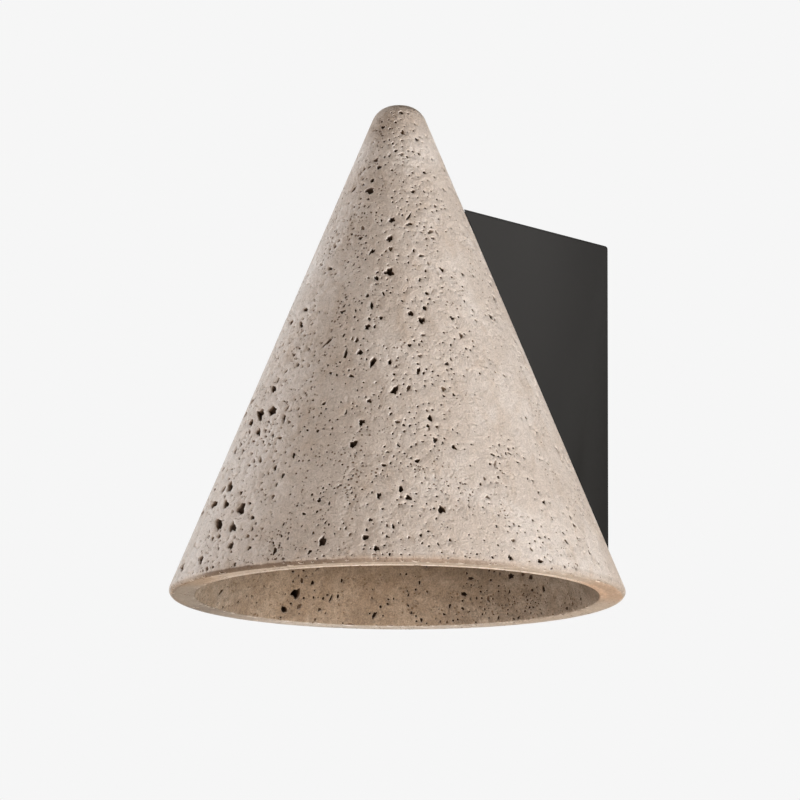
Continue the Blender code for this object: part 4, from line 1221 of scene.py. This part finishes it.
class Drawing:
    """Points and edges on the unrolled surface, and what becomes of each point.

    A shift is how far the point goes to the right, up and into the stone. A depth is how dark it
    lies.
    """

    def __init__(self):
        self.spots, self.edges, self.shifts, self.depths = [], [], [], []

    def add(self, turn, rise, shift=(0.0, 0.0, 0.0), depth=0.0):
        self.spots.append((turn, rise))
        self.shifts.append(shift)
        self.depths.append(depth)

    def close_loop(self, corners):
        """Edges round the last few points."""
        first = len(self.spots) - corners
        self.edges += [(first + corner, first + (corner + 1) % corners) for corner in range(corners)]

    def add_pit(self, pit, chance):
        """The worn lip round a pit, its outline, and the rings inside it down to its floor."""
        size = math.sqrt(pit.width * pit.length) / MM
        corners, rings = next(form[1:] for form in PIT_FORMS if size >= form[0])
        outline = pit_outline(pit, corners, chance)
        may_be_shallow = SHALLOW_SIZES[0] < size < SHALLOW_SIZES[1]
        shallow = SHALLOW_DEPTH if may_be_shallow and chance.random() < SHALLOW_CHANCE else 1.0
        depth = pit.depth * chance.uniform(0.65, 1.25) * shallow
        stain = (pit.depth_share * shallow) ** 2
        worn = min(1.0, 0.5 + 0.3 * size)
        for spot in outline:
            at = (spot + spot.normalized() * LIP_WIDTH * worn) / pit.radius
            self.add(pit.turn + at.x, pit.rise + at.y)
        self.close_loop(corners)
        for drawn, real, deep in rings:
            lean_in = Vector((chance.gauss(0.0, 0.10), chance.gauss(0.0, 0.10))) * pit.width * deep
            for spot in outline:
                at = spot * drawn / pit.radius
                move = spot * (real - drawn) + lean_in
                sinks = LIP_DEPTH * worn + depth * deep * chance.uniform(0.78, 1.18)
                shift = (move.x, move.y, sinks)
                self.add(pit.turn + at.x, pit.rise + at.y, shift, deep * stain or LIP_MARK)
            self.close_loop(corners)


def beside_pits(surface, pits, turns, rises):
    """Numbers of the points that lie in a pit or close beside one, apart from those of the seam."""
    places = surface.points(turns, rises)[0]
    finder = KDTree(len(places))
    for number, place in enumerate(places):
        finder.insert(place, number)
    finder.balance()
    beside = set()
    for pit in pits:
        for _, number, _ in finder.find_range(pit.place, 1.3 * pit.reach() + 2 * PLAIN_CLEARANCE):
            right = (turns[number] - pit.turn) * pit.radius
            up = (rises[number] - pit.rise) * pit.radius
            edge = 1.15 * pit.reach(math.atan2(up, right)) + PLAIN_CLEARANCE
            on_seam = turns[number] in (0.0, math.tau)
            if math.hypot(right, up) < edge and not on_seam:
                beside.add(number)
    return beside


def draw_shade(surface, pits, chance):
    """The plain surface's points with those of the pits in place of the ones beside them."""
    drawing = Drawing()
    rows = list(surface.rows())
    row_turns = np.concatenate([turns for turns, _ in rows])
    row_rises = np.concatenate([[rise] * len(turns) for turns, rise in rows])
    left_out = beside_pits(surface, pits, row_turns, row_rises)
    for number, (turn, rise) in enumerate(zip(row_turns, row_rises)):
        if number not in left_out:
            drawing.add(turn, rise)
    for pit in pits:
        drawing.add_pit(pit, chance)
    return drawing


def unpitted_mesh(surface, drawing):
    """The plain surface as a mesh that already has a point for every corner of every pit.

    Attributes say what becomes of a point: hollow is how far and which way it sinks, outward is
    where the surface faces, sunk is how dark it lies and within is 1 inside the cone.
    """
    spots = [Vector(spot) for spot in drawing.spots]
    made, _, faces, origins, _, _ = delaunay_2d_cdt(spots, drawing.edges, [], 0, 1e-7)
    turn = np.array([spot.x for spot in made])
    rise = np.array([spot.y for spot in made])
    shift = np.array([drawing.shifts[origin[0]] if origin else (0.0, 0.0, 0.0) for origin in origins])
    sunk = np.array([drawing.depths[origin[0]] if origin else 0.0 for origin in origins])
    place, normal, right, up = surface.points(turn, rise)
    hollow = right * shift[:, :1] + up * shift[:, 1:2] - normal * shift[:, 2:]
    sunk = 0.5 * sunk + 0.5 * np.clip((shift[:, 2] - LIP_DEPTH) / DEEP, 0.0, 1.0)
    within = np.clip((-rise - surface.within_from) / surface.within_rise, 0.0, 1.0)
    faces = weld_seam(turn, rise, faces)
    for height, facing, level in ((TIP_HEIGHT, 1.0, rise.max()), (HOLLOW_HEIGHT, -1.0, rise.min())):
        place = np.vstack((place, np.array(on_axis(height))))
        normal = np.vstack((normal, (0.0, 0.0, facing)))
        hollow = np.vstack((hollow, (0.0, 0.0, 0.0)))
        sunk = np.append(sunk, 0.0)
        within = np.append(within, float(facing < 0.0))
        ring = [number for number in np.argsort(turn) if rise[number] == level and turn[number] < math.tau]
        pairs = zip(ring, ring[1:] + ring[:1])
        faces += [(len(place) - 1, a, b) if facing > 0.0 else (len(place) - 1, b, a) for a, b in pairs]
    mesh = bpy.data.meshes.new("unpitted_shade")
    mesh.from_pydata(place, [], faces)
    for name, kind, field, values in (
        ("hollow", "FLOAT_VECTOR", "vector", hollow),
        ("outward", "FLOAT_VECTOR", "vector", normal),
        ("sunk", "FLOAT", "value", sunk),
        ("within", "FLOAT", "value", within),
    ):
        mesh.attributes.new(name, kind, "POINT").data.foreach_set(field, values.astype(np.float32).ravel())
    return mesh


def weld_seam(turn, rise, faces):
    """Faces that use the points of the first column in place of those a full turn further on."""
    first = {round(float(rise[number]), 9): number for number in np.flatnonzero(turn == 0.0)}
    swap = {
        int(number): int(first[round(float(rise[number]), 9)])
        for number in np.flatnonzero(turn == turn.max())
    }
    return [tuple(swap.get(corner, corner) for corner in face) for face in faces]


def start_tree(name, inputs):
    """A Geometry Nodes tree that takes a geometry and the named inputs, and its inputs' sockets."""
    tree = bpy.data.node_groups.new(name, "GeometryNodeTree")
    for label, kind in {"Geometry": "NodeSocketGeometry", **inputs}.items():
        tree.interface.new_socket(name=label, in_out="INPUT", socket_type=kind)
    tree.interface.new_socket(name="Geometry", in_out="OUTPUT", socket_type="NodeSocketGeometry")
    bench = Bench(tree)
    return bench, bench.add("NodeGroupInput").outputs


def end_tree(bench, geometry, material):
    """Realize the instances, give all of it the material and hand it out."""
    whole = bench.add("GeometryNodeRealizeInstances", None, {0: geometry}).outputs[0]
    done = bench.add("GeometryNodeSetMaterial", None, {"Geometry": whole, "Material": material})
    bench.add("NodeGroupOutput", None, {0: done.outputs[0]})
    return bench.tree


def pit_tree():
    """Geometry nodes that sink the pits and let the honed surface wander a little."""
    bench, given = start_tree("sink_pits", {
        "Pit Depth": "NodeSocketFloat", "Wave Height": "NodeSocketFloat", "Wave Size": "NodeSocketFloat",
        "Seed": "NodeSocketFloat", "Stone": "NodeSocketMaterial",
    })
    read = {"data_type": "FLOAT_VECTOR"}
    hollow = bench.add("GeometryNodeInputNamedAttribute", read, {"Name": "hollow"}).outputs["Attribute"]
    outward = bench.add("GeometryNodeInputNamedAttribute", read, {"Name": "outward"}).outputs["Attribute"]
    scale = {"operation": "SCALE"}
    sinking = bench.add("ShaderNodeVectorMath", scale, {0: hollow, "Scale": given["Pit Depth"]}).outputs[0]
    per_metre = bench.amount("ShaderNodeMath", {"operation": "DIVIDE"}, {0: 1.0, 1: given["Wave Size"]})
    place = bench.add("GeometryNodeInputPosition").outputs[0]
    noise = {"Vector": place, "W": given["Seed"], "Scale": per_metre, "Detail": 2.0}
    wander = bench.amount("ShaderNodeTexNoise", {"noise_dimensions": "4D"}, noise)
    inward = wander * Amount(bench, given["Wave Height"]) * -1.0
    wave = bench.add("ShaderNodeVectorMath", scale, {0: outward, "Scale": inward}).outputs[0]
    both = bench.add("ShaderNodeVectorMath", {"operation": "ADD"}, {0: sinking, 1: wave}).outputs[0]
    moved = bench.add("GeometryNodeSetPosition", None, {"Geometry": given["Geometry"], "Offset": both})
    return end_tree(bench, moved.outputs[0], given["Stone"])


def add_tree(thing, tree, values):
    """A Geometry Nodes modifier with its named inputs set."""
    modifier = thing.modifiers.new(tree.name, "NODES")
    modifier.node_group = tree
    for item in tree.interface.items_tree:
        if item.in_out == "INPUT" and item.name in values:
            modifier[item.identifier] = values[item.name]


def make_shade(look):
    surface = TurnedSurface()
    pits = lay_out_pits(surface, look)
    drawing = draw_shade(surface, pits, random.Random(look.seed + 1))
    plain = add_object("plain_shade", unpitted_mesh(surface, drawing))
    add_tree(plain, pit_tree(), {
        "Pit Depth": look.pit_depth, "Wave Height": look.wave_height, "Wave Size": look.wave_size,
        "Seed": float(look.seed), "Stone": travertine(look),
    })
    backwards = Vector((0.0, 1.0, 0.0))
    middle = on_axis(TUBE_HEIGHT)
    seat_depth = inner_radius(TUBE_HEIGHT - SEAT_RADIUS)
    cutters = [
        cut(plain, cylinder("tube_hole", middle, middle + backwards * RIM_RADIUS, TUBE_RADIUS + GAP)),
        cut(plain, cylinder("nut_seat", middle, middle + backwards * seat_depth, SEAT_RADIUS)),
    ]
    shade = settled(plain, "stone_shade", WORN_BELOW)
    for cutter in cutters:
        bpy.data.objects.remove(cutter)
    fit(shade, "travertine_shade")


# ---------------------------------------------------------------- the metal parts


def thread_tree():
    """Geometry nodes for a thread: a ridge wound round the line from 0 up to Length on +Z."""
    bench, given = start_tree("wind_thread", {
        "Length": "NodeSocketFloat", "Pitch": "NodeSocketFloat", "Root Radius": "NodeSocketFloat",
        "Depth": "NodeSocketFloat", "Metal": "NodeSocketMaterial",
    })
    turns = Amount(bench, given["Length"]).maths("DIVIDE", given["Pitch"])
    middle = Amount(bench, given["Root Radius"]) + Amount(bench, given["Depth"]) * 0.33
    spiral = bench.add("GeometryNodeCurveSpiral", None, {
        "Resolution": 32, "Rotations": turns, "Start Radius": middle, "End Radius": middle,
        "Height": given["Length"],
    }).outputs[0]
    ridge_radius = Amount(bench, given["Depth"]) * 0.66
    ridge = bench.add("GeometryNodeCurvePrimitiveCircle", None, {"Resolution": 3, "Radius": ridge_radius})
    wound = bench.add("GeometryNodeCurveToMesh", None, {
        "Curve": spiral, "Profile Curve": ridge.outputs[0], "Fill Caps": True,
    }).outputs[0]
    joined = bench.add("GeometryNodeJoinGeometry")
    bench.tree.links.new(given["Geometry"], joined.inputs[0])
    bench.tree.links.new(wound, joined.inputs[0])
    return end_tree(bench, joined.outputs[0], given["Metal"])


def make_tube(look, material):
    """The tube's core with a wound thread, laid back along +Y from inside the cup."""
    low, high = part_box("threaded_tube")
    reach = high.y - low.y
    root = TUBE_RADIUS - THREAD_DEPTH
    end = 0.4 * MM
    profile = [
        (TUBE_BORE_RADIUS, reach), (root - end, reach), (root, reach - end), (root, end), (root - end, 0.0),
        (TUBE_BORE_RADIUS, 0.0),
    ]
    bm = bmesh.new()
    rings = [add_ring(bm, radius, height) for radius, height in profile]
    join_rings(bm, rings + rings[:1])
    core = from_bmesh("tube_core", bm)
    add_tree(core, thread_tree(), {
        "Length": reach - 2 * look.thread_pitch, "Pitch": look.thread_pitch, "Root Radius": root,
        "Depth": THREAD_DEPTH, "Metal": material,
    })
    tube = settled(core, "lamp_tube")
    lay_back = Matrix.Rotation(-math.pi / 2, 4, "X")
    tube.data.transform(Matrix.Translation(Vector((0.0, low.y, on_axis(TUBE_HEIGHT).z))) @ lay_back)
    tube.data.update()
    fit(tube, "threaded_tube")


def make_nut(material):
    """The frame's hexagon nut with its corners eased."""
    plain = merged_copy("ring_nut", "nut_blank", material)
    bevel = plain.modifiers.new("eased", "BEVEL")
    bevel.width = 0.35 * MM
    bevel.segments = 2
    bevel.limit_method = "ANGLE"
    bevel.angle_limit = math.radians(40)
    fit(settled(plain, "tube_nut"), "ring_nut")


def make_bracket(material):
    fit(merged_copy("steel_bracket", "bracket_housing", material), "steel_bracket")


def make_wall_plate(material):
    fit(merged_copy("wall_plate", "wall_back_plate", material), "wall_plate")


def make_screw(material):
    fit(merged_copy("plate_screw", "bracket_screw", material), "plate_screw")


# ---------------------------------------------------------------- the lamp


def make_cup(material):
    low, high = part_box("lampholder_cup")
    top, radius, wall, corner, lip = high.z - low.z, CUP_RADIUS, CUP_WALL, CUP_ROUNDING, CUP_LIP
    outer = arc((radius - corner, top - corner), corner, math.pi / 2, 0.0, 10)
    inner = arc((radius - corner, top - corner), corner - wall, 0.0, math.pi / 2, 8)
    rim = [(radius, lip), (radius - lip, 0.0), (radius - wall + lip, 0.0), (radius - wall, lip)]
    plain = turned_on_axis("cup_blank", outer + rim + inner, "lampholder_cup", material)
    middle = on_axis(TUBE_HEIGHT)
    back = middle + Vector((0.0, 2 * radius, 0.0))
    cutter = cut(plain, cylinder("cup_hole", middle, back, TUBE_RADIUS + GAP))
    cup = settled(plain, "lampholder_cap")
    bpy.data.objects.remove(cutter)
    fit(cup, "lampholder_cup")


def make_socket(material):
    low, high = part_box("lamp_socket")
    radius, top, ease = (high.x - low.x) / 2, high.z - low.z, SOCKET_ROUNDING
    side = [(radius - ease, top), (radius, top - ease)]
    foot = arc((radius - ease, ease), ease, 0.0, -math.pi / 2, 6)
    mouth = [(0.66 * radius, 0.0), (0.62 * radius, 0.6 * MM), (0.3 * radius, 0.6 * MM)]
    socket = turned_on_axis("bulb_socket", side + foot + mouth, "lamp_socket", material)
    fit(smoothed(socket), "lamp_socket")


def make_bulb(material):
    """A pinched neck, a shoulder that swells to the full width, and a round end."""
    low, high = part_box("bulb")
    top, radius = high.z - low.z, BULB_RADIUS
    under_neck = top - BULB_NECK_LENGTH
    neck = [(BULB_NECK * radius, top), (BULB_NECK * radius, under_neck)]
    shoulder = [
        (radius * part, under_neck - way * BULB_SHOULDER_LENGTH)
        for part, way in ((0.66, 0.2), (0.86, 0.6), (0.97, 0.9))
    ]
    side = [(radius, under_neck - BULB_SHOULDER_LENGTH - 0.5 * MM)]
    end = arc((0.0, radius), radius, 0.0, -0.48 * math.pi, 16)
    bulb = turned_on_axis("capsule_bulb", neck + shoulder + side + end, "bulb", material)
    fit(smoothed(bulb), "bulb")


# ---------------------------------------------------------------- the stage


def make_camera(stage):
    bearing, pitch, roll = stage.camera_bearing, stage.camera_pitch, stage.camera_roll
    back = Vector((math.sin(bearing), -math.cos(bearing), 0.0))
    right = Vector((math.cos(bearing), math.sin(bearing), 0.0))
    lift = Vector((0.0, 0.0, 1.0))
    sight = lift * math.sin(pitch) - back * math.cos(pitch)
    over = lift * math.cos(pitch) + back * math.sin(pitch)
    across = right * math.cos(roll) + over * math.sin(roll)
    upright = over * math.cos(roll) - right * math.sin(roll)
    data = bpy.data.cameras.new("camera")
    data.lens = stage.lens
    data.sensor_width = 36.0
    data.clip_start, data.clip_end = 0.1, 200.0
    camera = bpy.data.objects.new("camera", data)
    bpy.context.scene.collection.objects.link(camera)
    turn = Matrix((across, upright, -sight)).transposed().to_4x4()
    spot = RIM_CENTRE + back * stage.camera_distance - lift * stage.camera_drop + right * stage.camera_aside
    camera.matrix_world = Matrix.Translation(spot) @ turn
    bpy.context.scene.camera = camera


def soft_light(name, bearing, climb, power, tint):
    """A square soft light that looks at the middle of the cone."""
    aim = on_axis(TIP_HEIGHT * 0.4)
    turn, up = math.radians(bearing), math.radians(climb)
    away = Vector((math.sin(turn) * math.cos(up), -math.cos(turn) * math.cos(up), math.sin(up)))
    data = bpy.data.lights.new(name, "AREA")
    data.size = SOFT_LIGHT_SIZE
    data.energy = power
    data.color = tint
    lamp = bpy.data.objects.new(name, data)
    lamp.location = aim + away * SOFT_LIGHT_DISTANCE
    lamp.rotation_euler = away.to_track_quat("Z", "Y").to_euler()
    lamp.visible_camera = False
    bpy.context.scene.collection.objects.link(lamp)


def make_world(stage):
    """A pale backdrop to look at, and a dimmer even light from all round."""
    world = bpy.data.worlds.new("studio")
    world.use_nodes = True
    bpy.context.scene.world = world
    tree = world.node_tree
    bench = Bench(tree)
    seen, lighting = [
        bench.add("ShaderNodeBackground", None, {"Color": (*tint, 1.0), "Strength": strength})
        for tint, strength in ((stage.backdrop, 1.0), (WORLD_TINT, WORLD_STRENGTH))
    ]
    direct = bench.add("ShaderNodeLightPath").outputs["Is Camera Ray"]
    both = bench.add("ShaderNodeMixShader", None, {0: direct, 1: lighting.outputs[0], 2: seen.outputs[0]})
    tree.links.new(both.outputs[0], tree.nodes["World Output"].inputs["Surface"])


def make_floor(stage):
    """A plain pale floor, far enough below to leave the view from under the light free.

    It looks as pale as the backdrop but sends no more light up into the shade than plain paint.
    """
    bm = bmesh.new()
    place = Matrix.Translation((0.0, 0.0, -FLOOR_BELOW))
    bmesh.ops.create_grid(bm, x_segments=8, y_segments=8, size=FLOOR_HALF_WIDTH, matrix=place)
    paint = Finish("floor_paint", {"Roughness": 0.9, "Specular IOR Level": 0.0, "Emission Strength": 1.0})
    drift = paint.noise(2.0, 2.0, 0.5)
    direct = paint.amount("ShaderNodeLightPath")
    lit = paint.blend(drift, *FLOOR_PAINT)
    glow = paint.blend(drift, *[dimmed(stage.backdrop, share) for share in FLOOR_GLOW])
    paint.paint("Base Color", paint.blend(direct, lit, (0.0, 0.0, 0.0)))
    paint.paint("Emission Color", paint.blend(direct, (0.0, 0.0, 0.0), glow))
    from_bmesh("floor", bm, paint.material)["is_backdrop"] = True


# ---------------------------------------------------------------- operators


class Step(bpy.types.Operator):
    """A step of making the light"""

    bl_options = {"REGISTER", "UNDO"}

    def execute(self, context):
        self.make(context.scene)
        return {"FINISHED"}


class WALL_LIGHT_OT_turn_shade(Step):
    """Turn the stone cone and sink its pits"""

    bl_idname = "wall_light.turn_shade"
    bl_label = "Stone Shade"

    def make(self, scene):
        make_shade(scene.wall_light_stone)


class WALL_LIGHT_OT_coat_bracket(Step):
    """Coat the bracket and its screw black"""

    bl_idname = "wall_light.coat_bracket"
    bl_label = "Bracket and Screw"

    def make(self, scene):
        coat = powder_coat(scene.wall_light_metal)
        make_bracket(coat)
        make_screw(coat)


class WALL_LIGHT_OT_plate_metal(Step):
    """Plate the wall plate, the tube and its nut"""

    bl_idname = "wall_light.plate_metal"
    bl_label = "Wall Plate, Tube and Nut"

    def make(self, scene):
        zinc = zinc_plate(scene.wall_light_metal)
        make_wall_plate(zinc)
        make_tube(scene.wall_light_metal, zinc)
        make_nut(zinc)


class WALL_LIGHT_OT_fit_lamp(Step):
    """Make the lampholder's cup, the socket and the bulb"""

    bl_idname = "wall_light.fit_lamp"
    bl_label = "Lampholder and Bulb"

    def make(self, scene):
        make_cup(bpy.data.materials["black_coat"])
        make_socket(glazed_ceramic(scene.wall_light_lamp))
        make_bulb(frosted_glass(scene.wall_light_lamp))


class WALL_LIGHT_OT_set_stage(Step):
    """Set the camera, the lights, the backdrop and the floor"""

    bl_idname = "wall_light.set_stage"
    bl_label = "Stage"

    def make(self, scene):
        scene.view_settings.view_transform = "Standard"
        make_camera(scene.wall_light_stage)
        make_world(scene.wall_light_stage)
        make_floor(scene.wall_light_stage)
        for light in SOFT_LIGHTS:
            soft_light(*light)


STEPS = (
    WALL_LIGHT_OT_set_stage, WALL_LIGHT_OT_turn_shade, WALL_LIGHT_OT_coat_bracket,
    WALL_LIGHT_OT_plate_metal, WALL_LIGHT_OT_fit_lamp,
)
SETTINGS = {
    "wall_light_stone": StoneSettings, "wall_light_metal": MetalSettings, "wall_light_lamp": LampSettings,
    "wall_light_stage": StageSettings,
}


class VIEW3D_PT_wall_light(bpy.types.Panel):
    """Steps and settings of the wall light"""

    bl_label = "Wall Light"
    bl_space_type = "VIEW_3D"
    bl_region_type = "UI"
    bl_category = "Wall Light"

    def draw(self, context):
        for step in STEPS:
            self.layout.operator(step.bl_idname)
        for name, settings in SETTINGS.items():
            box = self.layout.box()
            for field in settings.__annotations__:
                box.prop(getattr(context.scene, name), field)


CLASSES = tuple(SETTINGS.values()) + STEPS + (VIEW3D_PT_wall_light,)


def register():
    for kind in CLASSES:
        bpy.utils.register_class(kind)
    for name, settings in SETTINGS.items():
        setattr(bpy.types.Scene, name, bpy.props.PointerProperty(type=settings))


def unregister():
    for name in SETTINGS:
        delattr(bpy.types.Scene, name)
    for kind in reversed(CLASSES):
        bpy.utils.unregister_class(kind)


def write_sizes():
    """The frame's box and the finished light's box, as plain lists of metres."""
    boxes = {"cad": CAD_BOX, "visual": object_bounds()}
    sizes = {name: [list(corner) for corner in box] for name, box in boxes.items()}


def main():
    register()
    bpy.ops.wall_light.set_stage()
    bpy.ops.wall_light.turn_shade()
    bpy.ops.wall_light.coat_bracket()
    bpy.ops.wall_light.plate_metal()
    bpy.ops.wall_light.fit_lamp()
    write_sizes()


if __name__ == "__main__":
    main()
